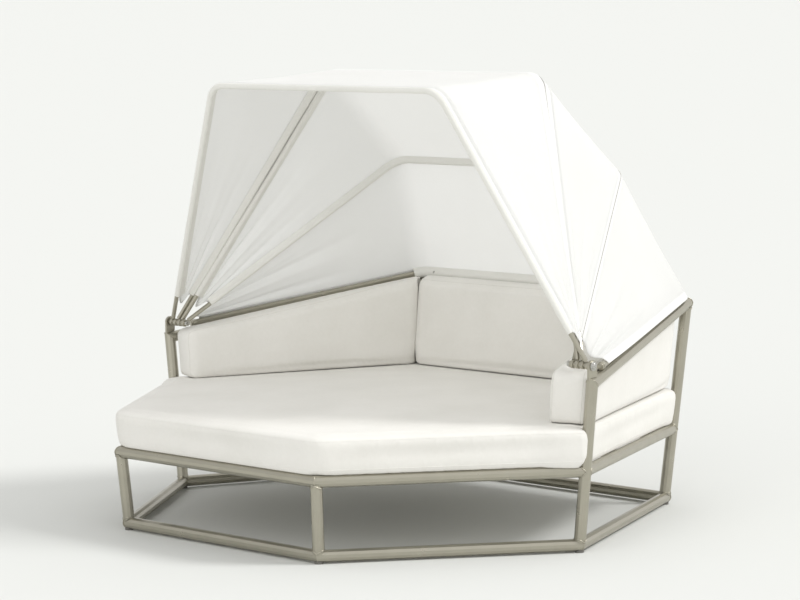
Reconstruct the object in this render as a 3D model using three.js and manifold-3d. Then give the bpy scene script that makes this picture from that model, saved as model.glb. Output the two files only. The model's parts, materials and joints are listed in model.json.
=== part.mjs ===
// Outdoor daybed with a folding canopy. Millimetres, +Z up, mirrored about the plane x = 0.
// A six-sided frame of welded tube carries a seat cushion and three back cushions.
// Five bent bows fan out from one pivot axis, which runs along X over the two arm posts.
import * as THREE from 'three';
import { mergeVertices } from 'three/addons/utils/BufferGeometryUtils.js';
import Module from 'manifold-3d';

const wasm = await Module();
wasm.setup();

// Frame tube, and the gap that separate pieces keep
const frameTube = 40;
const frameWall = 2.5;
const pieceGap = 0.3;
const frameSides = 12;

// Footprint at the seat rails, measured on the tubes' centre lines
const halfWidth = 1000;
const frontHalfLength = 480;
const frontDepth = 715;
const backHalfLength = 620;
const backDepth = 910;
const leanShare = 0.108;

// Heights of the tubes' centre lines over the floor rails' centre line
const seatRise = 246;
const armRise = 535;
const backRise = 691;

// Glides under the corners
const glideHeight = 5;
const glideDiameter = 30;
const glideGrip = 14;

// Seat deck under the cushion
const slatCount = 4;
const slatWidth = 80;
const slatWall = 2;
const beamWidth = 50;

// Seat cushion
const seatThickness = 126;
const seatOverhang = 16;
const seatEdge = 24;
const seatPull = 7;
const seatCrown = 14;
const seatCornerRadius = 45;
const seatArcSteps = 3;
const seatSideSteps = 4;
const postClearance = 4;

// Rings of the crowned top: each ring's width, and how much of the crown it has reached
const crownShares = [[0.79, 0], [0.66, 0.45], [0.5, 0.78], [0.3, 0.95]];

// Back cushions
const backThickness = 130;
const backLift = 34;
const backEdge = 26;
const backCrown = 12;
const backPull = 5;
const cushionGap = 0.6;
const backEndInset = 12;
const backSteps = [5, 2, 3];

// Pivot: bracket, bolt and nut on each arm post
const pivotLift = 58;
const bracketWidth = 40;
const bracketPlate = 8;
const boltDiameter = 10;
const boltHeadDiameter = 32;
const boltHeadHeight = 6;
const nutAcross = 18;
const nutHeight = 9;
const nutSides = 6;
const boltTip = 3;
const barrelCount = 4;
const barrelPitch = 22;
const barrelDiameter = 20;
const smallSides = 10;

// Bows of the canopy
const bowTube = 16;
const bowSides = 8;
const baseBowTube = 25;
const bowWall = 1.5;
const bendRadius = 85;
const legStub = 60;
const neckDiameter = 9;
const neckLength = 17;
const plugLength = 14;
const bendSteps = 5;
const baseLegStart = 85;

// Angle from the front, distance from the pivot axis to the cross bar, and half its length.
// The two middle bows are alike and stand a small angle apart.
const frontBowSize = { angle: 76.9, reach: 912, half: 546 };
const middleBowSize = { angle: 110.2, reach: 975, half: 518 };
const middlePairAngle = 2;
const rearBowSize = { angle: 141.3, reach: 926, half: 543 };

// Canopy cloth
const clothThickness = 2;
const clothClearance = 0.5;
const clothHem = 120;
const clothScallop = 45;
const sagShare = 0.028;
const foldShare = 0.022;
const foldCount = 2;
const clothLegSteps = 4;
const clothCrossSteps = 2;
const clothSpanSteps = 6;

// Sizes that follow
const frameRadius = frameTube / 2;
const floorLevel = glideHeight + frameRadius;
const pivotLevel = floorLevel + armRise + pivotLift;
const seatTopRise = seatRise + frameRadius + pieceGap + seatThickness;
const seatCentre = (backDepth - frontDepth) / 2;
const longEdge = frontHalfLength;

const metal = { color: 0xa8a196, roughness: 0.42, metalness: 0.75 };
const steel = { color: 0xb9b8b4, roughness: 0.3, metalness: 0.95 };
const plastic = { color: 0x4b4a47, roughness: 0.6, metalness: 0 };
const cushionCloth = { color: 0xf2efe8, roughness: 0.95, metalness: 0 };
const canopyCloth = { color: 0xf6f5f1, roughness: 0.9, metalness: 0 };

const up = new THREE.Vector3(0, 0, 1);
const along = new THREE.Vector3(0, 1, 0);

// Corners go round from the front left: 0 front left, 1 front right, 2 right arm, 3 back right,
// 4 back left, 5 left arm. The posts lean outwards, so the plan widens with height.
const plan = [
  [-frontHalfLength, -frontDepth],
  [frontHalfLength, -frontDepth],
  [halfWidth, 0],
  [backHalfLength, backDepth],
  [-backHalfLength, backDepth],
  [-halfWidth, 0],
];

function spreadAt(rise) {
  return 1 + leanShare * (rise - seatRise) / halfWidth;
}

function cornerAfter(index, steps) {
  return (index + steps + plan.length) % plan.length;
}

function corner(index, rise) {
  const [x, y] = plan[cornerAfter(index, 0)];
  return new THREE.Vector3(x * spreadAt(rise), y * spreadAt(rise), floorLevel + rise);
}

// Mesh helpers

function solidFrom(points, faces) {
  let volume = 0;
  for (let k = 0; k < faces.length; k += 3) {
    const [a, b, c] = [points[faces[k]], points[faces[k + 1]], points[faces[k + 2]]];
    volume += a.dot(new THREE.Vector3().crossVectors(b, c));
  }
  const turned = [];
  for (let k = 0; k < faces.length; k += 3) {
    turned.push(faces[k], faces[k + 2], faces[k + 1]);
  }
  const geometry = new THREE.BufferGeometry();
  const numbers = points.flatMap((p) => [p.x, p.y, p.z]);
  geometry.setAttribute('position', new THREE.Float32BufferAttribute(numbers, 3));
  geometry.setIndex(volume < 0 ? turned : faces);
  geometry.computeVertexNormals();
  return geometry;
}

// Skins a row of rings with equal numbers of points. A looped row closes on itself, as a pipe's
// outer and inner walls do; any other row is capped at both ends.
function skin(rings, looped = false) {
  const count = rings[0].length;
  const points = rings.flat();
  const faces = [];
  const bands = looped ? rings.length : rings.length - 1;
  for (let band = 0; band < bands; band += 1) {
    const next = (band + 1) % rings.length;
    for (let k = 0; k < count; k += 1) {
      const a = band * count + k;
      const b = band * count + (k + 1) % count;
      const c = next * count + (k + 1) % count;
      const d = next * count + k;
      faces.push(a, b, c, a, c, d);
    }
  }
  if (!looped) {
    const capAt = (ring, first, flip) => {
      const middle = ring.reduce((sum, p) => sum.add(p), new THREE.Vector3()).divideScalar(count);
      const hub = points.push(middle) - 1;
      for (let k = 0; k < count; k += 1) {
        const pair = [first + k, first + (k + 1) % count];
        faces.push(hub, pair[flip ? 1 : 0], pair[flip ? 0 : 1]);
      }
    };
    capAt(rings[0], 0, true);
    capAt(rings[rings.length - 1], (rings.length - 1) * count, false);
  }
  return solidFrom(points, faces);
}

function toManifold(geometry) {
  const bare = geometry.clone();
  bare.deleteAttribute('normal');
  bare.deleteAttribute('uv');
  const merged = mergeVertices(bare);
  return new wasm.Manifold(new wasm.Mesh({
    numProp: 3,
    vertProperties: new Float32Array(merged.attributes.position.array),
    triVerts: new Uint32Array(merged.index.array),
  }));
}

function fromManifold(solid) {
  const mesh = solid.getMesh();
  const geometry = new THREE.BufferGeometry();
  geometry.setAttribute('position', new THREE.Float32BufferAttribute(mesh.vertProperties, 3));
  geometry.setIndex(Array.from(mesh.triVerts));
  geometry.computeVertexNormals();
  return geometry;
}

function cutBy(geometry, cutters) {
  const cut = cutters.reduce((solid, cutter) => solid.subtract(toManifold(cutter)), toManifold(geometry));
  return fromManifold(cut);
}

// Straight bars with their ends on given planes

function acrossAxes(direction) {
  const upright = Math.abs(direction.z) > Math.abs(direction.x) + Math.abs(direction.y);
  const side = new THREE.Vector3().crossVectors(direction, upright ? along : up).normalize();
  return [side, new THREE.Vector3().crossVectors(side, direction)];
}

function roundSection(radius, sides) {
  return Array.from({ length: sides }, (_, k) => {
    const turn = 2 * Math.PI * (k + 0.5) / sides;
    return [radius * Math.cos(turn), radius * Math.sin(turn)];
  });
}

function boxSection(width, low, high) {
  return [[-width / 2, low], [width / 2, low], [width / 2, high], [-width / 2, high]];
}

function endRing(bar, section, atStart) {
  const direction = bar.end.clone().sub(bar.start).normalize();
  const [side, rise] = acrossAxes(direction);
  const normal = (atStart ? bar.startNormal : bar.endNormal) ?? direction;
  const centre = (atStart ? bar.start : bar.end).clone();
  centre.addScaledVector(direction, (atStart ? pieceGap : -pieceGap) / 2);
  return section.map(([s, r]) => {
    const offset = side.clone().multiplyScalar(s).addScaledVector(rise, r);
    const slip = -offset.dot(normal) / direction.dot(normal);
    return centre.clone().add(offset).addScaledVector(direction, slip);
  });
}

function pipe(bar, outer, inner) {
  return skin([
    endRing(bar, outer, true),
    endRing(bar, outer, false),
    endRing(bar, inner, false),
    endRing(bar, inner, true),
  ], true);
}

function rod(bar, section) {
  return skin([endRing(bar, section, true), endRing(bar, section, false)]);
}

function mitre(before, at, after) {
  const incoming = at.clone().sub(before).normalize();
  return incoming.add(after.clone().sub(at).normalize()).normalize();
}

const frameOuter = roundSection(frameRadius, frameSides);
const frameInner = roundSection(frameRadius - frameWall, frameSides);
const frameClear = roundSection((frameRadius + pieceGap) / Math.cos(Math.PI / frameSides), frameSides);

function framePipe(bar) {
  return pipe(bar, frameOuter, frameInner);
}

function frameCutter(bar) {
  return rod(bar, frameClear);
}

// Frame bars, each given by its ends and the planes they are cut on

function ringBar(index, rise) {
  const [before, start, end, after] = [-1, 0, 1, 2].map((step) => corner(index + step, rise));
  return { start, end, startNormal: mitre(before, start, end), endNormal: mitre(start, end, after) };
}

const edgeNames = ['front', 'front_right', 'rear_right', 'back', 'rear_left', 'front_left'];
const longPosts = [2, 3, 4, 5];
const floorBars = edgeNames.map((_, index) => ringBar(index, 0));

// A seat rail is mitred at the front corners, and runs to the middle of a post that goes on up
const seatBars = edgeNames.map((_, index) => {
  const { start, end, startNormal, endNormal } = ringBar(index, seatRise);
  return {
    start,
    end,
    startNormal: longPosts.includes(index) ? null : startNormal,
    endNormal: longPosts.includes(cornerAfter(index, 1)) ? null : endNormal,
  };
});

const armRight = corner(2, armRise);
const armLeft = corner(5, armRise);
const backRight = corner(3, backRise);
const backLeft = corner(4, backRise);
const footRight = corner(2, 0);
const footLeft = corner(5, 0);

const rightPostBar = { start: footRight, end: armRight, endNormal: mitre(footRight, armRight, backRight) };
const leftPostBar = { start: footLeft, end: armLeft, endNormal: mitre(footLeft, armLeft, backLeft) };
const rightArmBar = {
  start: armRight,
  end: backRight,
  startNormal: rightPostBar.endNormal,
  endNormal: mitre(armRight, backRight, backLeft),
};
const backBar = {
  start: backRight,
  end: backLeft,
  startNormal: rightArmBar.endNormal,
  endNormal: mitre(backRight, backLeft, armLeft),
};
const leftArmBar = {
  start: backLeft,
  end: armLeft,
  startNormal: backBar.endNormal,
  endNormal: mitre(backLeft, armLeft, footLeft),
};

const postBars = [
  { name: 'front_left_post', bar: { start: corner(0, 0), end: corner(0, seatRise) } },
  { name: 'front_right_post', bar: { start: corner(1, 0), end: corner(1, seatRise) } },
  { name: 'right_arm_post', bar: rightPostBar },
  { name: 'back_right_post', bar: { start: corner(3, 0), end: backRight } },
  { name: 'back_left_post', bar: { start: corner(4, 0), end: backLeft } },
  { name: 'left_arm_post', bar: leftPostBar },
];

function floorBarsAt(index) {
  return [floorBars[index], floorBars[cornerAfter(index, -1)]];
}

// The bars that each post ends against: the floor rails under it, and what it carries
function barsAtPost(index) {
  const carried = {
    0: [seatBars[0], seatBars[5]],
    1: [seatBars[0], seatBars[1]],
    3: [rightArmBar, backBar],
    4: [backBar, leftArmBar],
  }[index] ?? [];
  return [...floorBarsAt(index), ...carried];
}

function buildFrame() {
  const group = new THREE.Group();
  floorBars.forEach((bar, index) => {
    addPiece(group, `floor_rail_${edgeNames[index]}`, framePipe(bar), metal);
  });
  seatBars.forEach((bar, index) => {
    const next = cornerAfter(index, 1);
    const posts = [index, next].filter((post) => longPosts.includes(post));
    const nextRail = longPosts.includes(next) ? [seatBars[next]] : [];
    const cutters = [...posts.map((post) => postBars[post].bar), ...nextRail].map(frameCutter);
    addPiece(group, `seat_rail_${edgeNames[index]}`, cutBy(framePipe(bar), cutters), metal);
  });
  postBars.forEach(({ name, bar }, index) => {
    addPiece(group, name, cutBy(framePipe(bar), barsAtPost(index).map(frameCutter)), metal);
  });
  addPiece(group, 'right_arm_rail', framePipe(rightArmBar), metal);
  addPiece(group, 'left_arm_rail', framePipe(leftArmBar), metal);
  addPiece(group, 'back_rail', framePipe(backBar), metal);
  return group;
}

function buildGlides() {
  const group = new THREE.Group();
  const names = ['front_left', 'front_right', 'right', 'back_right', 'back_left', 'left'];
  names.forEach((name, index) => {
    const at = corner(index, 0);
    const disc = new THREE.CylinderGeometry(glideDiameter / 2, glideDiameter / 2, glideGrip, smallSides);
    disc.rotateX(Math.PI / 2).translate(at.x, at.y, glideGrip / 2);
    addPiece(group, `glide_${name}`, cutBy(disc, floorBarsAt(index).map(frameCutter)), plastic);
  });
  return group;
}

// Seat deck: slats across and one beam under them, all ending against the seat rails

function halfWidthAt(y) {
  if (y < 0) {
    return THREE.MathUtils.lerp(frontHalfLength, halfWidth, (y + frontDepth) / frontDepth);
  }
  return THREE.MathUtils.lerp(halfWidth, backHalfLength, y / backDepth);
}

function buildDeck() {
  const group = new THREE.Group();
  const level = floorLevel + seatRise;
  const slatOuter = boxSection(slatWidth, 0, frameRadius);
  const slatInner = boxSection(slatWidth - 2 * slatWall, slatWall, frameRadius - slatWall);
  for (let k = 0; k < slatCount; k += 1) {
    const y = THREE.MathUtils.lerp(-frontDepth, backDepth, (k + 0.5) / slatCount);
    const reach = halfWidthAt(y);
    const [first, last] = y < 0 ? [seatBars[5], seatBars[1]] : [seatBars[4], seatBars[2]];
    const edgeNormal = ({ start, end }) => (
      new THREE.Vector3().crossVectors(end.clone().sub(start), up).normalize()
    );
    const bar = {
      start: new THREE.Vector3(-reach, y, level),
      end: new THREE.Vector3(reach, y, level),
      startNormal: edgeNormal(first).negate(),
      endNormal: edgeNormal(last),
    };
    const slat = cutBy(pipe(bar, slatOuter, slatInner), [first, last].map(frameCutter));
    addPiece(group, `deck_slat_${k + 1}`, slat, metal);
  }
  const beamBar = {
    start: new THREE.Vector3(0, -frontDepth, level),
    end: new THREE.Vector3(0, backDepth, level),
  };
  const beamOuter = boxSection(beamWidth, -frameRadius, -pieceGap);
  const beamInner = boxSection(beamWidth - 2 * slatWall, slatWall - frameRadius, -pieceGap - slatWall);
  const beam = cutBy(pipe(beamBar, beamOuter, beamInner), [seatBars[0], seatBars[3]].map(frameCutter));
  addPiece(group, 'deck_beam', beam, metal);
  return group;
}

// Seat cushion

// Point where two edges of the plan meet once each is moved outwards by its own distance
function offsetCorner(index, rise, beforeOut, afterOut) {
  const [p0, p1, p2] = [-1, 0, 1].map((step) => corner(index + step, rise));
  const before = p1.clone().sub(p0).normalize();
  const after = p2.clone().sub(p1).normalize();
  const beforeNormal = new THREE.Vector3().crossVectors(before, up);
  const afterNormal = new THREE.Vector3().crossVectors(after, up);
  const sine = before.x * after.y - before.y * after.x;
  const slip = (afterOut - beforeOut * beforeNormal.dot(afterNormal)) / sine;
  return p1.clone().addScaledVector(beforeNormal, beforeOut).addScaledVector(before, slip);
}

// Outline of the seat cushion at a height: it stands out over the front rails, and steps in
// round the arm posts to lie inside the rear rails.
function seatOutline(rise, inset) {
  const out = seatOverhang - inset;
  const within = -(frameRadius + postClearance) - inset;
  const notch = frameRadius + postClearance + inset;
  const frontRight = corner(2, rise).sub(corner(1, rise)).normalize();
  const outwards = new THREE.Vector3().crossVectors(frontRight, up);
  const atPost = corner(2, rise).addScaledVector(frontRight, -notch);
  const right = [
    offsetCorner(1, rise, out, out),
    atPost.clone().addScaledVector(outwards, out),
    atPost.clone().addScaledVector(outwards, within),
    offsetCorner(2, rise, within, within),
    offsetCorner(3, rise, within, within),
  ];
  const left = right.map((p) => new THREE.Vector3(-p.x, p.y, p.z)).reverse();
  const rounded = [true, false, false, false, true];
  const roundedAll = [...rounded, ...[...rounded].reverse()];
  const corners = [...right, ...left].map((point, k) => ({ point, round: roundedAll[k] }));
  const outline = [];
  corners.forEach(({ point, round }, k) => {
    const before = corners[(k + corners.length - 1) % corners.length].point;
    const after = corners[(k + 1) % corners.length].point;
    if (!round) {
      outline.push({ point, pull: 0 });
    } else {
      const start = point.clone().sub(before).setLength(-seatCornerRadius).add(point);
      const finish = after.clone().sub(point).setLength(seatCornerRadius).add(point);
      for (let step = 0; step <= seatArcSteps; step += 1) {
        const t = step / seatArcSteps;
        const first = start.clone().lerp(point, t);
        outline.push({ point: first.lerp(point.clone().lerp(finish, t), t), pull: 0 });
      }
    }
    if (after.distanceTo(point) > longEdge) {
      for (let step = 1; step < seatSideSteps; step += 1) {
        const t = step / seatSideSteps;
        outline.push({ point: point.clone().lerp(after, t), pull: Math.sin(Math.PI * t) });
      }
    }
  });
  return outline;
}

function buildSeatCushion() {
  const bottomRise = seatRise + frameRadius + pieceGap;
  const edgeTurns = [0, 0.5, 1].map((t) => t * Math.PI / 2);
  const sideRing = (rise, inset, pullShare) => seatOutline(rise, inset).map(({ point, pull }) => {
    const inward = new THREE.Vector3(-point.x, seatCentre - point.y, 0).normalize();
    return point.addScaledVector(inward, seatPull * pull * pullShare);
  });
  const rings = [];
  edgeTurns.forEach((turn) => {
    const inset = seatEdge * (1 - Math.sin(turn));
    rings.push(sideRing(bottomRise + seatEdge * (1 - Math.cos(turn)), inset, 0));
  });
  rings.push(sideRing((bottomRise + seatTopRise) / 2, 0, 1));
  [...edgeTurns].reverse().forEach((turn) => {
    const inset = seatEdge * (1 - Math.sin(turn));
    rings.push(sideRing(seatTopRise - seatEdge * (1 - Math.cos(turn)), inset, 0));
  });
  const topRing = rings[rings.length - 1];
  crownShares.forEach(([share, crown]) => {
    rings.push(topRing.map((p) => new THREE.Vector3(
      p.x * share,
      THREE.MathUtils.lerp(seatCentre, p.y, share),
      p.z + seatCrown * crown,
    )));
  });
  return skin(rings);
}

// Back cushions: a rounded block, bent to the eight corners that the frame gives it

function blockCorners(index, startRail, endRail, startFree, endFree) {
  const bottom = seatTopRise + cushionGap;
  const faces = [frameRadius + pieceGap, frameRadius + pieceGap + backThickness];
  const place = (atStart, depth, rise) => {
    const post = atStart ? index : index + 1;
    const direction = corner(index + 1, rise).sub(corner(index, rise)).normalize();
    if (atStart ? startFree : endFree) {
      const inward = new THREE.Vector3().crossVectors(up, direction);
      const inset = atStart ? backEndInset : -backEndInset;
      return corner(post, rise).addScaledVector(direction, inset).addScaledVector(inward, depth);
    }
    const gap = atStart ? cushionGap : -cushionGap;
    return offsetCorner(post, rise, -depth, -depth).addScaledVector(direction, gap);
  };
  return [true, false].map((atStart) => faces.map((depth) => {
    const top = (atStart ? startRail : endRail) + backLift;
    return [place(atStart, depth, bottom), place(atStart, depth, top)];
  }));
}

function buildBackCushion(index, startRail, endRail, startFree, endFree) {
  const block = blockCorners(index, startRail, endRail, startFree, endFree);
  const [[startBottom, startTop], [endBottom, endTop]] = block.map((faces) => faces[1]);
  const length = startBottom.distanceTo(endBottom);
  const height = (startBottom.distanceTo(startTop) + endBottom.distanceTo(endTop)) / 2;
  const half = [length / 2, backThickness / 2, height / 2];
  const bentTo = (p) => {
    const [s, t, r] = [0, 1, 2].map((axis) => (p[axis] / half[axis] + 1) / 2);
    const atEnd = block.map((faces) => faces[0][0].clone().lerp(faces[0][1], r)
      .lerp(faces[1][0].clone().lerp(faces[1][1], r), t));
    return atEnd[0].lerp(atEnd[1], s);
  };
  const rounded = (raw) => {
    const core = raw.map((value, axis) => {
      const inner = half[axis] - backEdge;
      return THREE.MathUtils.clamp(value, -inner, inner);
    });
    const out = new THREE.Vector3(...raw.map((value, axis) => value - core[axis]));
    out.normalize().multiplyScalar(backEdge);
    const share = raw.map((value, axis) => value / half[axis]);
    const dome = (1 - share[0] ** 2) * (1 - share[2] ** 2);
    const p = [core[0] + out.x, core[1] + out.y, core[2] + out.z];
    p[1] += backCrown * dome * Math.max(0, share[1]);
    if (Math.abs(share[0]) === 1) {
      p[0] -= share[0] * backPull * (1 - share[1] ** 2) * (1 - share[2] ** 2);
    }
    return bentTo(p);
  };
  const stations = (axis, steps) => {
    const inner = half[axis] - backEdge;
    const middle = Array.from({ length: steps + 1 }, (_, k) => -inner + 2 * inner * k / steps);
    return [-half[axis], ...middle, half[axis]];
  };
  const grids = backSteps.map((steps, axis) => stations(axis, steps));
  const points = [];
  const known = new Map();
  const faces = [];
  const vertex = (raw) => {
    const key = raw.join();
    if (!known.has(key)) {
      known.set(key, points.push(rounded(raw)) - 1);
    }
    return known.get(key);
  };
  [0, 1, 2].forEach((axis) => {
    const [m, n] = [(axis + 1) % 3, (axis + 2) % 3];
    [-1, 1].forEach((side) => {
      for (let i = 0; i < grids[m].length - 1; i += 1) {
        for (let j = 0; j < grids[n].length - 1; j += 1) {
          const quad = [[i, j], [i + 1, j], [i + 1, j + 1], [i, j + 1]].map(([a, b]) => {
            const raw = [0, 0, 0];
            raw[axis] = side * half[axis];
            raw[m] = grids[m][a];
            raw[n] = grids[n][b];
            return vertex(raw);
          });
          if (side < 0) {
            quad.reverse();
          }
          faces.push(quad[0], quad[1], quad[2], quad[0], quad[2], quad[3]);
        }
      }
    });
  });
  return solidFrom(points, faces);
}

function buildCushions() {
  const group = new THREE.Group();
  const right = buildBackCushion(2, armRise, backRise, true, false);
  const back = buildBackCushion(3, backRise, backRise, false, false);
  const left = buildBackCushion(4, backRise, armRise, false, true);
  addPiece(group, 'seat_cushion', buildSeatCushion(), cushionCloth);
  addPiece(group, 'right_cushion', right, cushionCloth);
  addPiece(group, 'back_cushion', back, cushionCloth);
  addPiece(group, 'left_cushion', left, cushionCloth);
  return group;
}

// Pivots. The stack on each bolt runs inwards from the bracket: front, middle front, middle rear
// and rear bow, each on a barrel of its own.

const bracketCentre = armRight.x;
const stackStart = bracketCentre - bracketPlate / 2 - pieceGap;
const stackEnd = stackStart - barrelCount * barrelPitch;
const boltRadius = boltDiameter / 2;
const boreRadius = (boltRadius + pieceGap) / Math.cos(Math.PI / smallSides);

function barrelCentre(place) {
  return stackStart - barrelPitch * (place + 0.5);
}

function turnedAlongX(profile, sides) {
  const geometry = new THREE.LatheGeometry(profile.map(([r, h]) => new THREE.Vector2(r, h)), sides);
  return geometry.rotateZ(-Math.PI / 2);
}

function buildBracket() {
  const shape = new THREE.Shape();
  shape.moveTo(-bracketWidth / 2, 0);
  shape.lineTo(bracketWidth / 2, 0);
  shape.lineTo(bracketWidth / 2, pivotLift);
  shape.absarc(0, pivotLift, bracketWidth / 2, 0, Math.PI, false);
  const hole = new THREE.Path();
  hole.absarc(0, pivotLift, boreRadius, 0, 2 * Math.PI, true);
  shape.holes.push(hole);
  const plate = new THREE.ExtrudeGeometry(shape, {
    depth: bracketPlate,
    bevelEnabled: false,
    curveSegments: smallSides,
  });
  plate.translate(0, 0, -bracketPlate / 2).rotateX(Math.PI / 2).rotateZ(Math.PI / 2);
  plate.translate(bracketCentre, 0, floorLevel + armRise);
  return cutBy(plate, [rightPostBar, rightArmBar].map(frameCutter));
}

function buildBolt() {
  const head = bracketCentre + bracketPlate / 2 + pieceGap;
  const tip = stackEnd - nutHeight - boltTip;
  const bolt = turnedAlongX([
    [0, tip],
    [boltRadius, tip],
    [boltRadius, head],
    [boltHeadDiameter / 2, head],
    [boltHeadDiameter / 2, head + boltHeadHeight / 2],
    [boltHeadDiameter / 4, head + boltHeadHeight],
    [0, head + boltHeadHeight],
  ], smallSides);
  return bolt.translate(0, 0, pivotLevel);
}

function buildNut() {
  const radius = nutAcross / 2 / Math.cos(Math.PI / nutSides);
  const blank = new THREE.CylinderGeometry(radius, radius, nutHeight, nutSides);
  const bore = new THREE.CylinderGeometry(boreRadius, boreRadius, 2 * nutHeight, smallSides);
  [blank, bore].forEach((geometry) => {
    geometry.rotateZ(Math.PI / 2).translate(stackEnd - nutHeight / 2, 0, pivotLevel);
  });
  return cutBy(blank, [bore]);
}

function mirrored(geometry) {
  const copy = geometry.clone().scale(-1, 1, 1);
  const index = Array.from(copy.index.array);
  for (let k = 0; k < index.length; k += 3) {
    [index[k + 1], index[k + 2]] = [index[k + 2], index[k + 1]];
  }
  copy.setIndex(index);
  copy.computeVertexNormals();
  return copy;
}

function buildPivots() {
  const group = new THREE.Group();
  const kinds = [
    ['pivot_bracket', buildBracket(), metal],
    ['pivot_bolt', buildBolt(), steel],
    ['pivot_nut', buildNut(), steel],
  ];
  kinds.forEach(([name, geometry, material]) => {
    addPiece(group, `right_${name}`, geometry, material);
    addPiece(group, `left_${name}`, mirrored(geometry), material);
  });
  return group;
}

// Bows. A bow lies in a plane through the pivot axis; in that plane x runs across and r out from
// the axis. The right leg runs from the hub to the corner, and the cross bar joins the corners.

function bowFrom({ angle, reach, half }, hub, tube, centreLevel) {
  const length = Math.hypot(hub - half, reach);
  const normalTurn = Math.atan2(hub - half, reach);
  const tangent = bendRadius * Math.tan((Math.PI / 2 - normalTurn) / 2);
  return {
    turn: THREE.MathUtils.degToRad(angle),
    reach,
    half,
    hub,
    tube,
    level: centreLevel,
    direction: [(half - hub) / length, reach / length],
    normal: [Math.cos(normalTurn), Math.sin(normalTurn)],
    normalTurn,
    bendStart: length - tangent,
    bendCentre: [half - tangent, reach - bendRadius],
  };
}

const armSlope = Math.atan2(backRise - armRise, backRight.y - armRight.y);
const baseLift = frameRadius + baseBowTube / 2 + pieceGap;
const baseLevel = armRise + floorLevel + baseLift / Math.cos(armSlope);
const baseBowSize = {
  angle: 180 - THREE.MathUtils.radToDeg(armSlope),
  reach: backRight.y / Math.cos(armSlope),
  half: backRight.x,
};

function middleSize(side) {
  return { ...middleBowSize, angle: middleBowSize.angle + side * middlePairAngle / 2 };
}

const frontBow = bowFrom(frontBowSize, barrelCentre(0), bowTube, pivotLevel);
const middleFrontBow = bowFrom(middleSize(-1), barrelCentre(1), bowTube, pivotLevel);
const middleRearBow = bowFrom(middleSize(1), barrelCentre(2), bowTube, pivotLevel);
const rearBow = bowFrom(rearBowSize, barrelCentre(3), bowTube, pivotLevel);
const baseBow = bowFrom(baseBowSize, armRight.x, baseBowTube, baseLevel);

// In a bow's own group z runs out from the axis, and the group is turned about X into place.
function bowGroup(bow) {
  const group = new THREE.Group();
  group.position.z = bow.level;
  group.rotation.x = Math.PI / 2 - bow.turn;
  return group;
}

function legJoint(bow) {
  return bow.bendStart - legStub;
}

function pivotLeg(bow) {
  const radius = bow.tube / 2;
  const finish = legJoint(bow) - pieceGap / 2;
  const leg = new THREE.LatheGeometry([
    [0, boltRadius],
    [neckDiameter / 2, boltRadius],
    [neckDiameter / 2, neckLength],
    [radius, neckLength],
    [radius, finish],
    [radius - bowWall, finish],
    [radius - bowWall, neckLength + plugLength],
    [0, neckLength + plugLength],
  ].map(([r, h]) => new THREE.Vector2(r, h)), bowSides);
  leg.rotateX(Math.PI / 2).rotateY(-bow.normalTurn).translate(bow.hub, 0, 0);
  const barrelRadius = barrelDiameter / 2;
  const length = barrelPitch - pieceGap;
  const barrel = new THREE.CylinderGeometry(barrelRadius, barrelRadius, length, smallSides);
  const bore = new THREE.CylinderGeometry(boreRadius, boreRadius, 2 * length, smallSides);
  [barrel, bore].forEach((geometry) => geometry.rotateZ(Math.PI / 2).translate(bow.hub, 0, 0));
  return fromManifold(toManifold(leg).add(toManifold(barrel)).subtract(toManifold(bore)));
}

function plainLeg(bow) {
  const radius = bow.tube / 2;
  const onLeg = (distance) => new THREE.Vector3(
    bow.hub + bow.direction[0] * distance,
    0,
    bow.direction[1] * distance,
  );
  const bar = { start: onLeg(baseLegStart), end: onLeg(legJoint(bow)) };
  return pipe(bar, roundSection(radius, bowSides), roundSection(radius - bowWall, bowSides));
}

// Cross bar with its two bends and a short length of each leg
function crossBar(bow) {
  const stations = [];
  const lead = legJoint(bow) + pieceGap / 2;
  stations.push({
    x: bow.hub + bow.direction[0] * lead,
    r: bow.direction[1] * lead,
    turn: bow.normalTurn,
  });
  for (let step = 0; step <= bendSteps; step += 1) {
    const turn = THREE.MathUtils.lerp(bow.normalTurn, Math.PI / 2, step / bendSteps);
    stations.push({
      x: bow.bendCentre[0] + bendRadius * Math.cos(turn),
      r: bow.bendCentre[1] + bendRadius * Math.sin(turn),
      turn,
    });
  }
  const other = stations.map(({ x, r, turn }) => ({ x: -x, r, turn: Math.PI - turn })).reverse();
  const whole = [...stations, ...other];
  const ringsOf = (radius) => whole.map(({ x, r, turn }) => (
    roundSection(radius, bowSides).map(([s, t]) => (
      new THREE.Vector3(x + s * Math.cos(turn), t, r + s * Math.sin(turn))
    ))
  ));
  const outer = ringsOf(bow.tube / 2);
  const inner = ringsOf(bow.tube / 2 - bowWall).reverse();
  return skin([...outer, ...inner], true);
}

function addBow(parent, name, bow, leg) {
  const group = bowGroup(bow);
  addPiece(group, `${name}_right_leg`, leg(bow), metal);
  addPiece(group, `${name}_left_leg`, mirrored(leg(bow)), metal);
  addPiece(group, `${name}_cross_bar`, crossBar(bow), metal);
  parent.add(group);
}

// Canopy cloth. Each panel is a thin shell between two bows, which it passes over on the outside.

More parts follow.
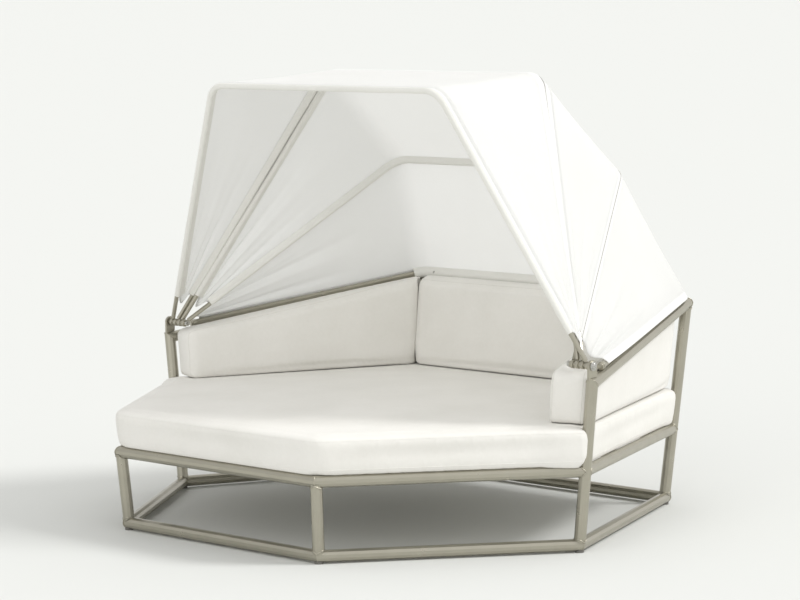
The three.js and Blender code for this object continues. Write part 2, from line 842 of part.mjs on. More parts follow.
// A point on a bow's centre line, with the directions across the tube: away from the seat in the
// bow's plane, and square to that plane
function bowStation(bow, step, hem) {
  const leg = clothLegSteps;
  const bend = leg + bendSteps;
  const total = bend + clothCrossSteps;
  const side = step > total ? -1 : 1;
  const place = step > total ? 2 * total - step : step;
  let x = bow.bendCentre[0] * (total - place) / clothCrossSteps;
  let r = bow.reach;
  let turn = Math.PI / 2;
  if (place <= leg) {
    const distance = THREE.MathUtils.lerp(hem, bow.bendStart, place / leg);
    x = bow.hub + bow.direction[0] * distance;
    r = bow.direction[1] * distance;
    turn = bow.normalTurn;
  } else if (place <= bend) {
    turn = THREE.MathUtils.lerp(bow.normalTurn, Math.PI / 2, (place - leg) / bendSteps);
    x = bow.bendCentre[0] + bendRadius * Math.cos(turn);
    r = bow.bendCentre[1] + bendRadius * Math.sin(turn);
  }
  const [back, rise] = [-Math.cos(bow.turn), Math.sin(bow.turn)];
  return {
    point: new THREE.Vector3(side * x, r * back, bow.level + r * rise),
    away: new THREE.Vector3(side * Math.cos(turn), Math.sin(turn) * back, Math.sin(turn) * rise),
    square: new THREE.Vector3(0, -rise, back),
    looseShare: Math.max(0, 1 - place / leg),
  };
}

// Where the cloth leaves a bow: on the tube's outside, square to the cloth's own run. Two panels
// meet on the rear bow, so there both lie straight outwards in the bow's plane.
function clothEdge(bow, station, other) {
  const out = bow.tube / 2 + clothClearance + clothThickness / 2;
  const normal = station.away.clone();
  if (bow !== rearBow) {
    const run = other.point.clone().sub(station.point);
    normal.multiplyScalar(run.dot(station.square));
    normal.addScaledVector(station.square, -run.dot(station.away)).normalize();
    if (normal.dot(station.away) < 0) {
      normal.negate();
    }
  }
  return { point: station.point.clone().addScaledVector(normal, out), normal };
}

function buildPanel(fromBow, toBow) {
  const steps = 2 * (clothLegSteps + bendSteps + clothCrossSteps);
  const faces = [1, -1].map((side) => Array.from({ length: clothSpanSteps + 1 }, (_, k) => {
    const share = k / clothSpanSteps;
    const arch = 4 * share * (1 - share);
    const hem = clothHem + clothScallop * arch;
    return Array.from({ length: steps + 1 }, (__, step) => {
      const from = bowStation(fromBow, step, hem);
      const to = bowStation(toBow, step, hem);
      const a = clothEdge(fromBow, from, to);
      const b = clothEdge(toBow, to, from);
      const span = a.point.distanceTo(b.point);
      const t = THREE.MathUtils.lerp(pieceGap / span, 1 - pieceGap / span, share);
      const normal = a.normal.clone().lerp(b.normal, t).normalize();
      const sag = sagShare * span * arch ** 2;
      const wave = Math.sin(2 * Math.PI * foldCount * share);
      const fold = foldShare * span * from.looseShare * arch * wave;
      const height = side * clothThickness / 2 - sag + fold;
      return a.point.clone().lerp(b.point, t).addScaledVector(normal, height);
    });
  }));
  const rings = faces[0].map((outer, k) => [...outer, ...[...faces[1][k]].reverse()]);
  return shellFrom(rings);
}

// Closes a thin shell whose rings run out along one face and back along the other. The end rings
// are strips, so they are capped pair by pair.
function shellFrom(rings) {
  const count = rings[0].length;
  const points = rings.flat();
  const faces = [];
  for (let band = 0; band < rings.length - 1; band += 1) {
    for (let k = 0; k < count; k += 1) {
      const a = band * count + k;
      const b = band * count + (k + 1) % count;
      faces.push(a, b, b + count, a, b + count, a + count);
    }
  }
  const capStrip = (first, flip) => {
    for (let k = 0; k < count / 2 - 1; k += 1) {
      const quad = [first + k, first + k + 1, first + count - 2 - k, first + count - 1 - k];
      if (flip) {
        quad.reverse();
      }
      faces.push(quad[0], quad[1], quad[2], quad[0], quad[2], quad[3]);
    }
  };
  capStrip(0, true);
  capStrip((rings.length - 1) * count, false);
  return solidFrom(points, faces);
}

function buildCanopy() {
  const group = new THREE.Group();
  addBow(group, 'base_bow', baseBow, plainLeg);
  addBow(group, 'rear_bow', rearBow, pivotLeg);
  addBow(group, 'middle_rear_bow', middleRearBow, pivotLeg);
  addBow(group, 'middle_front_bow', middleFrontBow, pivotLeg);
  addBow(group, 'front_bow', frontBow, pivotLeg);
  addPiece(group, 'rear_canopy', buildPanel(baseBow, rearBow), canopyCloth);
  addPiece(group, 'crown_canopy', buildPanel(rearBow, middleRearBow), canopyCloth);
  addPiece(group, 'front_canopy', buildPanel(middleFrontBow, frontBow), canopyCloth);
  return group;
}

// Adds a mesh whose position is the middle of its piece
function addPiece(parent, name, geometry, material) {
  geometry.computeBoundingBox();
  const middle = geometry.boundingBox.getCenter(new THREE.Vector3());
  const centred = geometry.clone().translate(-middle.x, -middle.y, -middle.z);
  const mesh = new THREE.Mesh(centred, new THREE.MeshStandardMaterial(material));
  mesh.name = name;
  mesh.position.copy(middle);
  parent.add(mesh);
}

const daybed = new THREE.Group();
daybed.add(buildFrame(), buildGlides(), buildDeck(), buildCushions(), buildPivots(), buildCanopy());

// The origin stands on the floor under the middle of the whole part
daybed.updateMatrixWorld(true);
daybed.position.y = -new THREE.Box3().setFromObject(daybed, true).getCenter(new THREE.Vector3()).y;

export default daybed;
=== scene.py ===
import json
import math

import bmesh
import bpy
from mathutils import Matrix, Vector, noise
from mathutils.bvhtree import BVHTree


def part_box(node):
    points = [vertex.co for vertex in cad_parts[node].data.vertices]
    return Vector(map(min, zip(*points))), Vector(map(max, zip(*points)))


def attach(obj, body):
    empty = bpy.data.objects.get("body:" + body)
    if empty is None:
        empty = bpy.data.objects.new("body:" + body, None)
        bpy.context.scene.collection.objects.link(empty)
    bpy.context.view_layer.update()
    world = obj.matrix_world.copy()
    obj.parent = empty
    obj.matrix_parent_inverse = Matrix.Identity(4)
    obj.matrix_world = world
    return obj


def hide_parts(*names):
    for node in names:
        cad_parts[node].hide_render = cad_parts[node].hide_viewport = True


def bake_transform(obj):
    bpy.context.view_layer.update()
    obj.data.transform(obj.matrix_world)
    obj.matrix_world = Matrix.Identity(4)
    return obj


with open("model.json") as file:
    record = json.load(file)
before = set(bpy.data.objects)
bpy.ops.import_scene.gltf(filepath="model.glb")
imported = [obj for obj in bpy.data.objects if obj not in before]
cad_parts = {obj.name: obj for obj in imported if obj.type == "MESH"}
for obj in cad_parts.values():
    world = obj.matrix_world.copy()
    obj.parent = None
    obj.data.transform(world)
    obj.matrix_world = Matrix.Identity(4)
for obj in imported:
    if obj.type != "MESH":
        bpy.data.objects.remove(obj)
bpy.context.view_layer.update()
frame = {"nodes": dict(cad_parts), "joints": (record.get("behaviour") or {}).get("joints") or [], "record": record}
nodes = frame["nodes"]
scene = bpy.context.scene
print("frame loaded:", len(nodes), "nodes")


# Camera, floor and light

cameraView = {
    "place": (7.38, -7.4764, 1.865),
    "yaw": 44.43,      # degrees, from +Y towards -X
    "pitch": 6.03,     # degrees below the horizon
    "roll": -0.68,
    "lens": 136.08,    # mm on a 36 mm sensor
}

light = {
    "sky": "#FAFAF9",
    "skyStrength": 1.02,
    "skyShade": 0.70,                   # share of that strength on the side away from the window
    "skyFrom": (0.80, 0.45, 0.40),      # where the sky is brightest
    "windowStrength": 1.50,
    "windowFrom": (0.72, 0.52, 0.85),   # a tall window at the back right
    "windowSoftness": 16,               # degrees across
    "fillStrength": 0.56,
    "fillFrom": (0.30, -1.0, 0.50),     # a wide softbox beside the camera
    "fillSoftness": 45,
}
floorPaint = {"pale": "#DEDFDC", "deep": "#DBDCD9", "mottleMm": 900, "roughness": 0.9, "radius": 400.0}


def makeCamera(view):
    yaw, pitch, roll = (math.radians(view[k]) for k in ("yaw", "pitch", "roll"))
    forward = Vector((-math.sin(yaw) * math.cos(pitch), math.cos(yaw) * math.cos(pitch), -math.sin(pitch)))
    right = Vector((math.cos(yaw), math.sin(yaw), 0))
    upward = right.cross(forward)
    turnedRight = right * math.cos(roll) + upward * math.sin(roll)
    turnedUp = upward * math.cos(roll) - right * math.sin(roll)
    data = bpy.data.cameras.new("camera")
    data.lens = view["lens"]
    data.clip_end = 2000
    camera = bpy.data.objects.new("camera", data)
    scene.collection.objects.link(camera)
    columns = Matrix((turnedRight, turnedUp, -forward)).transposed().to_4x4()
    camera.matrix_world = Matrix.Translation(view["place"]) @ columns
    scene.camera = camera


def linear(hexText):
    channels = [int(hexText[k:k + 2], 16) / 255 for k in (1, 3, 5)]
    return tuple(c / 12.92 if c <= 0.04045 else ((c + 0.055) / 1.055) ** 2.4 for c in channels) + (1,)


# One node of a material: its settings go on sockets or properties, its links come from other nodes
def addNode(tree, kind, settings=None, links=None):
    node = tree.nodes.new(kind)
    for key, value in (settings or {}).items():
        if isinstance(key, int) or key in node.inputs:
            node.inputs[key].default_value = value
        else:
            setattr(node, key, value)
    for key, socket in (links or {}).items():
        tree.links.new(socket, node.inputs[key])
    return node


def newMaterial(name):
    material = bpy.data.materials.new(name)
    material.use_nodes = True
    material.node_tree.nodes.clear()
    return material, material.node_tree


def perMetre(millimetres):
    return 1000 / millimetres


# Settings of a mix node that goes from a look's pale colour to its deep one
def paleToDeep(look):
    return {"data_type": "RGBA", 6: linear(look["pale"]), 7: linear(look["deep"])}


def makeSky(light):
    world = bpy.data.worlds.new("studio")
    world.use_nodes = True
    world.node_tree.nodes.clear()
    tree = world.node_tree
    place = addNode(tree, "ShaderNodeTexCoord")
    towards = addNode(tree, "ShaderNodeVectorMath", {"operation": "DOT_PRODUCT", 1: light["skyFrom"]},
                      {0: place.outputs["Generated"]})
    strength = addNode(tree, "ShaderNodeMapRange",
                       {"From Min": -1.0, "To Min": light["skyStrength"] * light["skyShade"],
                        "To Max": light["skyStrength"]}, {"Value": towards.outputs["Value"]})
    sky = addNode(tree, "ShaderNodeBackground", {"Color": linear(light["sky"])},
                  {"Strength": strength.outputs[0]})
    addNode(tree, "ShaderNodeOutputWorld", links={"Surface": sky.outputs[0]})
    scene.world = world
    scene.view_settings.view_transform = "Standard"


def makeLamps(light):
    for name in ("window", "fill"):
        data = bpy.data.lights.new(name, "SUN")
        data.energy = light[f"{name}Strength"]
        data.angle = math.radians(light[f"{name}Softness"])
        sun = bpy.data.objects.new(name, data)
        sun.rotation_euler = Vector(light[f"{name}From"]).to_track_quat("Z", "Y").to_euler()
        scene.collection.objects.link(sun)


def makeFloor(look):
    material, tree = newMaterial("painted studio floor")   # matt emulsion, no texture to the eye
    mottle = addNode(tree, "ShaderNodeTexNoise", {"Scale": perMetre(look["mottleMm"]), "Detail": 2.0})
    tone = addNode(tree, "ShaderNodeMix", paleToDeep(look), {0: mottle.outputs[0]})
    paint = addNode(tree, "ShaderNodeBsdfPrincipled",
                    {"Roughness": look["roughness"], "Specular IOR Level": 0.1},
                    {"Base Color": tone.outputs[2]})
    addNode(tree, "ShaderNodeOutputMaterial", links={"Surface": paint.outputs[0]})
    bm = bmesh.new()
    bmesh.ops.create_circle(bm, cap_ends=True, radius=look["radius"], segments=64)
    mesh = bpy.data.meshes.new("floor")
    bm.to_mesh(mesh)
    bm.free()
    mesh.materials.append(material)
    floor = bpy.data.objects.new("floor", mesh)
    scene.collection.objects.link(floor)


makeCamera(cameraView)
makeSky(light)
makeLamps(light)
makeFloor(floorPaint)
print("camera and stage made")


# Materials

# Metallic powder coat, sprayed and baked: a soft satin gloss that changes a little from place to
# place. Its orange peel is about 1 mm across, drawn coarser so that it shows.
powderCoat = {"pale": "#B3AFA1", "deep": "#A6A294", "metallic": 0.85, "roughness": 0.29,
              "smoother": 0.05, "rougher": 0.06, "mottleMm": 60, "peelMm": 2.5, "peelDepth": 0.00003}


def makePowderCoat(name, look):
    material, tree = newMaterial(name)
    place = addNode(tree, "ShaderNodeTexCoord")
    mottle = addNode(tree, "ShaderNodeTexNoise", {"Scale": perMetre(look["mottleMm"]), "Detail": 3.0},
                     {"Vector": place.outputs["Object"]})
    tone = addNode(tree, "ShaderNodeMix", paleToDeep(look), {0: mottle.outputs[0]})
    peel = addNode(tree, "ShaderNodeTexNoise", {"Scale": perMetre(look["peelMm"]), "Detail": 1.0},
                   {"Vector": place.outputs["Object"]})
    bump = addNode(tree, "ShaderNodeBump", {"Strength": 0.5, "Distance": look["peelDepth"]},
                   {"Height": peel.outputs[0]})
    gloss = addNode(tree, "ShaderNodeMapRange", {"To Min": look["roughness"] - look["smoother"],
                                                 "To Max": look["roughness"] + look["rougher"]},
                    {"Value": mottle.outputs[0]})
    coat = addNode(tree, "ShaderNodeBsdfPrincipled", {"Metallic": look["metallic"]},
                   {"Base Color": tone.outputs[2], "Roughness": gloss.outputs[0], "Normal": bump.outputs[0]})
    addNode(tree, "ShaderNodeOutputMaterial", links={"Surface": coat.outputs[0]})
    return material


# Stainless steel turned on a lathe: fine rings round its axis catch the light
steelLook = {"pale": "#C4C3BE", "deep": "#A9A8A3", "turnMm": 0.9, "turnDepth": 0.00005, "roughness": 0.28}


def makeTurnedSteel(name, look):
    material, tree = newMaterial(name)
    place = addNode(tree, "ShaderNodeTexCoord")
    rings = addNode(tree, "ShaderNodeTexWave",
                    {"wave_type": "RINGS", "rings_direction": "X", "Scale": perMetre(look["turnMm"]) / 20,
                     "Distortion": 1.0}, {"Vector": place.outputs["Object"]})
    tone = addNode(tree, "ShaderNodeMix", paleToDeep(look), {0: rings.outputs[1]})
    bump = addNode(tree, "ShaderNodeBump", {"Strength": 0.3, "Distance": look["turnDepth"]},
                   {"Height": rings.outputs[1]})
    steel = addNode(tree, "ShaderNodeBsdfPrincipled", {"Metallic": 1.0, "Roughness": look["roughness"]},
                    {"Base Color": tone.outputs[2], "Normal": bump.outputs[0]})
    addNode(tree, "ShaderNodeOutputMaterial", links={"Surface": steel.outputs[0]})
    return material


# Injection moulded nylon: dull, with the mould's fine grain
nylonLook = {"pale": "#6E6C66", "deep": "#5C5A55", "grainMm": 1.5, "grainDepth": 0.0001, "roughness": 0.55}


def makeMouldedNylon(name, look):
    material, tree = newMaterial(name)
    place = addNode(tree, "ShaderNodeTexCoord")
    grain = addNode(tree, "ShaderNodeTexNoise", {"Scale": perMetre(look["grainMm"]), "Detail": 2.0},
                    {"Vector": place.outputs["Object"]})
    tone = addNode(tree, "ShaderNodeMix", paleToDeep(look), {0: grain.outputs[0]})
    bump = addNode(tree, "ShaderNodeBump", {"Strength": 0.4, "Distance": look["grainDepth"]},
                   {"Height": grain.outputs[0]})
    nylon = addNode(tree, "ShaderNodeBsdfPrincipled", {"Roughness": look["roughness"], "IOR": 1.53},
                    {"Base Color": tone.outputs[2], "Normal": bump.outputs[0]})
    addNode(tree, "ShaderNodeOutputMaterial", links={"Surface": nylon.outputs[0]})
    return material


# Woven acrylic over foam: matt, a little warm, with slubs and a plain weave. Real threads are
# 0.6 mm apart, drawn at 4 mm so that the weave shows at all.
cushionLook = {"pale": "#E8E6E1", "deep": "#E0DED8", "threadMm": 4.0, "slubMm": 14, "cloudMm": 260,
               "weaveDepth": 0.00025, "roughness": 0.92}

# Thin woven polyester: matt white, lets some light through
canopyLook = {"pale": "#F1F1F0", "deep": "#ECECEA", "threadMm": 3.0, "slubMm": 10, "cloudMm": 320,
              "weaveDepth": 0.00012, "roughness": 0.85, "through": 0.33, "throughColour": "#F8F8F6"}

# The same cloth sewn double along a bow, and folded round it: hardly any light comes through
hemLook = {**canopyLook, "pale": "#E9E9E7", "deep": "#E4E4E2", "through": 0.04}
sleeveLook = {**canopyLook, "pale": "#EAE9E4", "deep": "#E3E2DC", "through": 0.05}

# Sewn seams: a row of stitches, coloured darker than the cloth as painted shade: the shade in each seam's crease,
# and on the canopy the shade in the slit between the middle bows
cushionSeamPaintedShadeLook = {**cushionLook, "pale": "#DEDCD6", "deep": "#D4D2CB", "threadMm": 2.5}
canopySeamPaintedShadeLook = {**sleeveLook, "pale": "#9A988F", "deep": "#8C8A81", "threadMm": 2.5}


def makeWoven(name, look):
    material, tree = newMaterial(name)
    place = addNode(tree, "ShaderNodeTexCoord")
    at = place.outputs["Object"]
    # A wave texture of scale 1 has a band every 0.314 units
    bandScale = 0.314 * perMetre(look["threadMm"])
    threads = [addNode(tree, "ShaderNodeTexWave",
                       {"bands_direction": direction, "Scale": bandScale, "Distortion": 0.6, "Detail": 1.0},
                       {"Vector": at}) for direction in ("X", "Y", "Z")]
    crossed = addNode(tree, "ShaderNodeMath", {"operation": "MULTIPLY"},
                      {0: threads[0].outputs[1], 1: threads[1].outputs[1]})
    weave = addNode(tree, "ShaderNodeMath", {"operation": "ADD"},
                    {0: crossed.outputs[0], 1: threads[2].outputs[1]})
    slub = addNode(tree, "ShaderNodeTexNoise",
                   {"Scale": perMetre(look["slubMm"]), "Detail": 4.0, "Roughness": 0.65}, {"Vector": at})
    height = addNode(tree, "ShaderNodeMath", {"operation": "MULTIPLY_ADD", 1: 0.35},
                     {0: weave.outputs[0], 2: slub.outputs[0]})
    bump = addNode(tree, "ShaderNodeBump", {"Strength": 0.5, "Distance": look["weaveDepth"]},
                   {"Height": height.outputs[0]})
    cloud = addNode(tree, "ShaderNodeTexNoise", {"Scale": perMetre(look["cloudMm"]), "Detail": 3.0},
                    {"Vector": at})
    speck = addNode(tree, "ShaderNodeMath", {"operation": "MULTIPLY_ADD", 1: 0.4},
                    {0: slub.outputs[0], 2: cloud.outputs[0]})
    spread = addNode(tree, "ShaderNodeMapRange", {"From Min": 0.45, "From Max": 0.95},
                     {"Value": speck.outputs[0]})
    tone = addNode(tree, "ShaderNodeMix", paleToDeep(look), {0: spread.outputs[0]})
    cloth = addNode(tree, "ShaderNodeBsdfPrincipled",
                    {"Roughness": look["roughness"], "Specular IOR Level": 0.25, "Sheen Weight": 0.15,
                     "Sheen Roughness": 0.5},
                    {"Base Color": tone.outputs[2], "Normal": bump.outputs[0]})
    surface = cloth.outputs[0]
    if "through" in look:
        glow = addNode(tree, "ShaderNodeBsdfTranslucent", {"Color": linear(look["throughColour"])},
                       {"Normal": bump.outputs[0]})
        both = addNode(tree, "ShaderNodeMixShader", {"Fac": look["through"]},
                       {1: surface, 2: glow.outputs[0]})
        surface = both.outputs[0]
    addNode(tree, "ShaderNodeOutputMaterial", links={"Surface": surface})
    return material


frameCoat = makePowderCoat("powder coated aluminium", powderCoat)
weldCoat = makePowderCoat("powder coated weld", {**powderCoat, "peelMm": 5, "peelDepth": 0.0003})
turnedSteel = makeTurnedSteel("turned stainless steel", steelLook)
mouldedNylon = makeMouldedNylon("moulded nylon", nylonLook)
cushionCloth = makeWoven("woven acrylic", cushionLook)
canopyCloth = makeWoven("woven polyester", canopyLook)
hemCloth = makeWoven("hemmed woven polyester", hemLook)
sleeveCloth = makeWoven("doubled woven polyester", sleeveLook)
cushionSeamPaintedShade = makeWoven("sewn acrylic seam with painted shade", cushionSeamPaintedShadeLook)
canopySeamPaintedShade = makeWoven("sewn polyester seam with painted shade", canopySeamPaintedShadeLook)
finishes = {"frame_metal": frameCoat, "hardware": turnedSteel, "glide_plastic": mouldedNylon,
            "cushion_cloth": cushionCloth, "canopy_cloth": canopyCloth}

for part in frame["record"]["subparts"]:
    shown = nodes[part["node"]]
    shown.data.materials.clear()
    shown.data.materials.append(finishes[part["material_slot"]])
print("materials on", len(nodes), "nodes")


# Mesh helpers

def newPiece(name, points, faces, material, body=None):
    mesh = bpy.data.meshes.new(name)
    mesh.from_pydata([tuple(p) for p in points], [], faces)
    mesh.update()
    mesh.polygons.foreach_set("use_smooth", [True] * len(mesh.polygons))
    mesh.materials.append(material)
    piece = bpy.data.objects.new(name, mesh)
    scene.collection.objects.link(piece)
    if body:
        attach(piece, body)
    return piece


# Faces of a net of rows by columns, either way open or closed
def netFaces(rows, columns, loopRows=False, loopColumns=False):
    faces = []
    for i in range(rows if loopRows else rows - 1):
        for j in range(columns if loopColumns else columns - 1):
            a, b = i * columns + j, i * columns + (j + 1) % columns
            c, d = (i + 1) % rows * columns + (j + 1) % columns, (i + 1) % rows * columns + j
            faces.append([a, b, c, d])
    return faces


# Faces of a row of rings, with its ends closed by caps unless it runs round in a loop
def ringFaces(rings, sides, closed=False):
    faces = netFaces(rings, sides, closed, True)
    if not closed:
        faces += [list(range(sides)), list(range((rings - 1) * sides, rings * sides))]
    return faces


# Unit vectors all the way round an axis
def spokes(axis, count, side=None):
    side = axis.orthogonal().normalized() if side is None else side
    other = axis.cross(side)
    turns = [2 * math.pi * k / count for k in range(count)]
    return [side * math.cos(turn) + other * math.sin(turn) for turn in turns]


def outwardNormals(piece):
    bm = bmesh.new()
    bm.from_mesh(piece.data)
    bmesh.ops.recalc_face_normals(bm, faces=bm.faces)
    bm.to_mesh(piece.data)
    bm.free()
    return piece


# A round bead or cord along points; radius may vary with the step
def sweepRound(points, radius, sides=8, closed=False):
    count = len(points)
    rings, normal = [], None
    for k, point in enumerate(points):
        ahead = points[(k + 1) % count] if closed or k < count - 1 else point
        behind = points[k - 1] if closed or k > 0 else point
        tangent = (ahead - behind).normalized()
        if normal is None:
            normal = tangent.orthogonal().normalized()
        normal = (normal - tangent * normal.dot(tangent)).normalized()
        size = radius(k) if callable(radius) else radius
        rings += [point + spoke * size for spoke in spokes(tangent, sides, normal)]
    return rings, ringFaces(count, sides, closed)


# Points and faces of a turned form: profile is a list of (along, radius) from one end to the other
def turned(origin, axis, profile, sides=24):
    axis = axis.normalized()
    around = spokes(axis, sides)
    points = [origin + axis * along + spoke * radius for along, radius in profile for spoke in around]
    return points, ringFaces(len(profile), sides)


# A short cylinder with softened rims
def softDisc(length, radius, rim):
    turns = [math.pi / 6 * k for k in range(4)]
    steps = [(rim * (1 - math.cos(t)), radius - rim * (1 - math.sin(t))) for t in turns]
    return steps + [(length - a, r) for a, r in steps[::-1]]


def dome(radius, height):
    turns = (0, 0.4, 0.8, 1.15, 1.45)
    return [(-height * 0.5, radius)] + [(height * math.sin(t), radius * math.cos(t)) for t in turns]


# Several forms as one piece
def gathered(name, forms, material, body):
    points, faces = [], []
    for ring, net in forms:
        faces += [[len(points) + k for k in face] for face in net]
        points += ring
    return outwardNormals(newPiece(name, points, faces, material, body))


# Several beads or cords as one piece
def beads(name, paths, radius, material, body, closed=True, sides=8):
    forms = [sweepRound(path, radius, sides, closed) for path in paths]
    return gathered(name, forms, material, body)


# The radius of a row of stitches, which swells at every other step
def stitches(radius):
    return lambda k: radius * (1 if k % 2 else 0.75)


def smoothstep(t):
    t = min(1, max(0, t))
    return t * t * (3 - 2 * t)


# Frame: weld beads where the tubes meet

tubes = {
    "radius": 0.020, "beadRadius": 0.0026, "mitreRadius": 0.0014, "beadSteps": 48,
    "halfWidth": 1.0, "frontHalf": 0.480, "frontDepth": 0.715, "backHalf": 0.620, "backDepth": 0.910,
    "lean": 0.108, "floorLevel": 0.025, "seatRise": 0.246, "armRise": 0.535, "backRise": 0.691,
}
pivot = Vector(frame["joints"][0]["pos_m"])     # middle of the folding axis, over the arm posts


def frameCorner(index, rise):
    plan = [(-tubes["frontHalf"], -tubes["frontDepth"]), (tubes["frontHalf"], -tubes["frontDepth"]),
            (tubes["halfWidth"], 0), (tubes["backHalf"], tubes["backDepth"]),
            (-tubes["backHalf"], tubes["backDepth"]), (-tubes["halfWidth"], 0)]
    x, y = plan[index % 6]
    spread = 1 + tubes["lean"] * (rise - tubes["seatRise"]) / tubes["halfWidth"]
    return Vector((x * spread, y * spread + pivot.y, tubes["floorLevel"] + rise))


# The middle lines of the frame's tubes, each from one corner to the next
def frameLines():
    c, seat, arm, back = frameCorner, tubes["seatRise"], tubes["armRise"], tubes["backRise"]
    tops = [seat, seat, arm, back, back, arm]
    return {
        "floor": [(c(k, 0), c(k + 1, 0)) for k in range(6)],
        "seat": [(c(k, seat), c(k + 1, seat)) for k in range(6)],
        "posts": [(c(k, 0), c(k, tops[k])) for k in range(6)],
        "top": [(c(k, tops[k]), c(k + 1, tops[k + 1])) for k in (2, 3, 4)],
    }


# Where the tube from start to end first meets one of the other tubes, all the way round
def meetingLine(start, end, others):
    direction = (end - start).normalized()
    path = []
    for spoke in spokes(direction, tubes["beadSteps"]):
        origin = start + spoke * tubes["radius"]
        hits = []
        for low, high in others:
            axis = (high - low).normalized()
            d = direction - axis * direction.dot(axis)
            o = (origin - low) - axis * (origin - low).dot(axis)
            a, b, c = d.dot(d), 2 * o.dot(d), o.dot(o) - tubes["radius"] ** 2
            root = b * b - 4 * a * c
            if root >= 0:
                hits.append((-b - math.sqrt(root)) / (2 * a))
        reach = min([h for h in hits if h > 0], default=(end - start).length)
        path.append(origin + direction * reach)
    return path


# The ellipse in which two mitred tubes meet
def mitreLine(before, at, after):
    direction = (at - before).normalized()
    normal = (direction + (after - at).normalized()).normalized()
    path = []
    for spoke in spokes(direction, tubes["beadSteps"]):
        offset = spoke * tubes["radius"]
        path.append(at + offset - direction * (offset.dot(normal) / direction.dot(normal)))
    return path


def makeWelds():
    lines = frameLines()
    floorRails, seatRails, posts, topRails = (lines[key] for key in ("floor", "seat", "posts", "top"))
    joints = []
    for k, (foot, top) in enumerate(posts):
        middle = foot.lerp(top, 0.3)
        joints.append(meetingLine(middle, foot, [floorRails[k], floorRails[k - 1]]))
        if k in (0, 1):
            joints.append(meetingLine(middle, top, [seatRails[k], seatRails[k - 1]]))
        else:
            for near, far in (seatRails[k], seatRails[k - 1][::-1]):
                joints.append(meetingLine(near.lerp(far, 0.4), near, [posts[k]]))
    for k, rails in ((3, topRails[:2]), (4, topRails[1:])):
        foot, top = posts[k]
        joints.append(meetingLine(foot.lerp(top, 0.7), top, rails))
    mitres = [mitreLine(floorRails[k - 1][0], *floorRails[k]) for k in range(6)]
    mitres += [mitreLine(seatRails[k - 1][0], *seatRails[k]) for k in (0, 1)]
    overTop = [posts[2][0]] + [near for near, _ in topRails] + [topRails[-1][1], posts[5][0]]
    mitres += [mitreLine(*overTop[k:k + 3]) for k in range(4)]

    def ripple(k):    # the bead was laid in short overlapping puddles
        return tubes["beadRadius"] * (0.9 + 0.1 * math.sin(k * 2.1))

    beads("weld_beads", joints, ripple, weldCoat, "frame")
    beads("mitre_welds", mitres, tubes["mitreRadius"], weldCoat, "frame")


makeWelds()
print("welds made")


# Bows: the lines that sleeves and cloth follow

bowShape = {"bendRadius": 0.085, "stub": 0.060, "barrelPitch": 0.022, "barrelGap": 0.0003, "tube": 0.016,
            "pairAngle": 2.0}     # degrees between the two middle bows
bowSizes = {
    "base": {"angle": 170.71, "reach": 0.9664, "half": 0.6498, "level": 0.59324, "tube": 0.025,
             "body": "frame"},
    "rear": {"angle": 141.3, "reach": 0.926, "half": 0.543, "place": 3, "body": "rear_bow"},
    "middleRear": {"angle": 111.2, "reach": 0.975, "half": 0.518, "place": 2, "body": "middle_bow"},
    "middleFront": {"angle": 109.2, "reach": 0.975, "half": 0.518, "place": 1, "body": "middle_bow"},
    "front": {"angle": 76.9, "reach": 0.912, "half": 0.546, "place": 0, "body": "front_bow"},
}


# The right leg runs from the hub on the axis to the corner; the cross bar joins the two corners
def bowLine(name):
    size = bowSizes[name]
    low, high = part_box("right_pivot_bracket")
    hub = (low.x + high.x) / 2
    if "place" in size:
        hub = low.x - bowShape["barrelGap"] - bowShape["barrelPitch"] * (size["place"] + 0.5)
    reach, half, bend = size["reach"], size["half"], bowShape["bendRadius"]
    length = math.hypot(hub - half, reach)
    normalTurn = math.atan2(hub - half, reach)
    tangent = bend * math.tan((math.pi / 2 - normalTurn) / 2)
    turn, arc = math.radians(size["angle"]), bend * (math.pi / 2 - normalTurn)
    return {
        "name": name, "hub": hub, "reach": reach, "normalTurn": normalTurn, "arc": arc,
        "level": size.get("level", pivot.z), "radius": size.get("tube", bowShape["tube"]) / 2,
        "direction": ((half - hub) / length, reach / length), "bendStart": length - tangent,
        "bendCentre": (half - tangent, reach - bend), "body": size["body"],
        "back": -math.cos(turn), "rise": math.sin(turn),
        "halfLength": length - tangent + arc + half - tangent,
    }


bows = {name: bowLine(name) for name in bowSizes}


# A place on a bow: where it is, which way is outwards in the bow's plane and which way is square
# to that plane, towards the front. Distance runs from the right hub; side -1 mirrors it.
def bowPlace(bow, distance, side=1):
    onArc = distance - bow["bendStart"]
    if onArc <= 0:
        x = bow["hub"] + bow["direction"][0] * distance
        r, turn = bow["direction"][1] * distance, bow["normalTurn"]
    elif onArc <= bow["arc"]:
        turn = bow["normalTurn"] + onArc / bowShape["bendRadius"]
        x = bow["bendCentre"][0] + bowShape["bendRadius"] * math.cos(turn)
        r = bow["bendCentre"][1] + bowShape["bendRadius"] * math.sin(turn)
    else:
        turn = math.pi / 2
        x, r = bow["bendCentre"][0] - (onArc - bow["arc"]), bow["reach"]
    back, rise = bow["back"], bow["rise"]
    return {
        "point": Vector((side * x, pivot.y + r * back, bow["level"] + r * rise)),
        "away": Vector((side * math.cos(turn), math.sin(turn) * back, math.sin(turn) * rise)),
        "square": Vector((0, -rise, back)),
    }


# Distances along half a bow, from the hem to the middle of the cross bar; steps are those on the
# leg, in the bend and on half the cross bar
def halfDistances(bow, hem, steps):
    start, arc = bow["bendStart"], bow["arc"]
    leg, bend, cross = steps
    return ([hem + (start - hem) * k / leg for k in range(leg)]
            + [start + arc * k / bend for k in range(bend)]
            + [start + arc + bow["bendCentre"][0] * k / cross for k in range(cross + 1)])


# Places along the whole bow, from the right hem to the left one
def wholeBow(bow, hem, steps):
    distances = halfDistances(bow, hem, steps)
    right = [bowPlace(bow, d) for d in distances]
    left = [bowPlace(bow, d, -1) for d in distances[:-1]]
    return right + left[::-1]


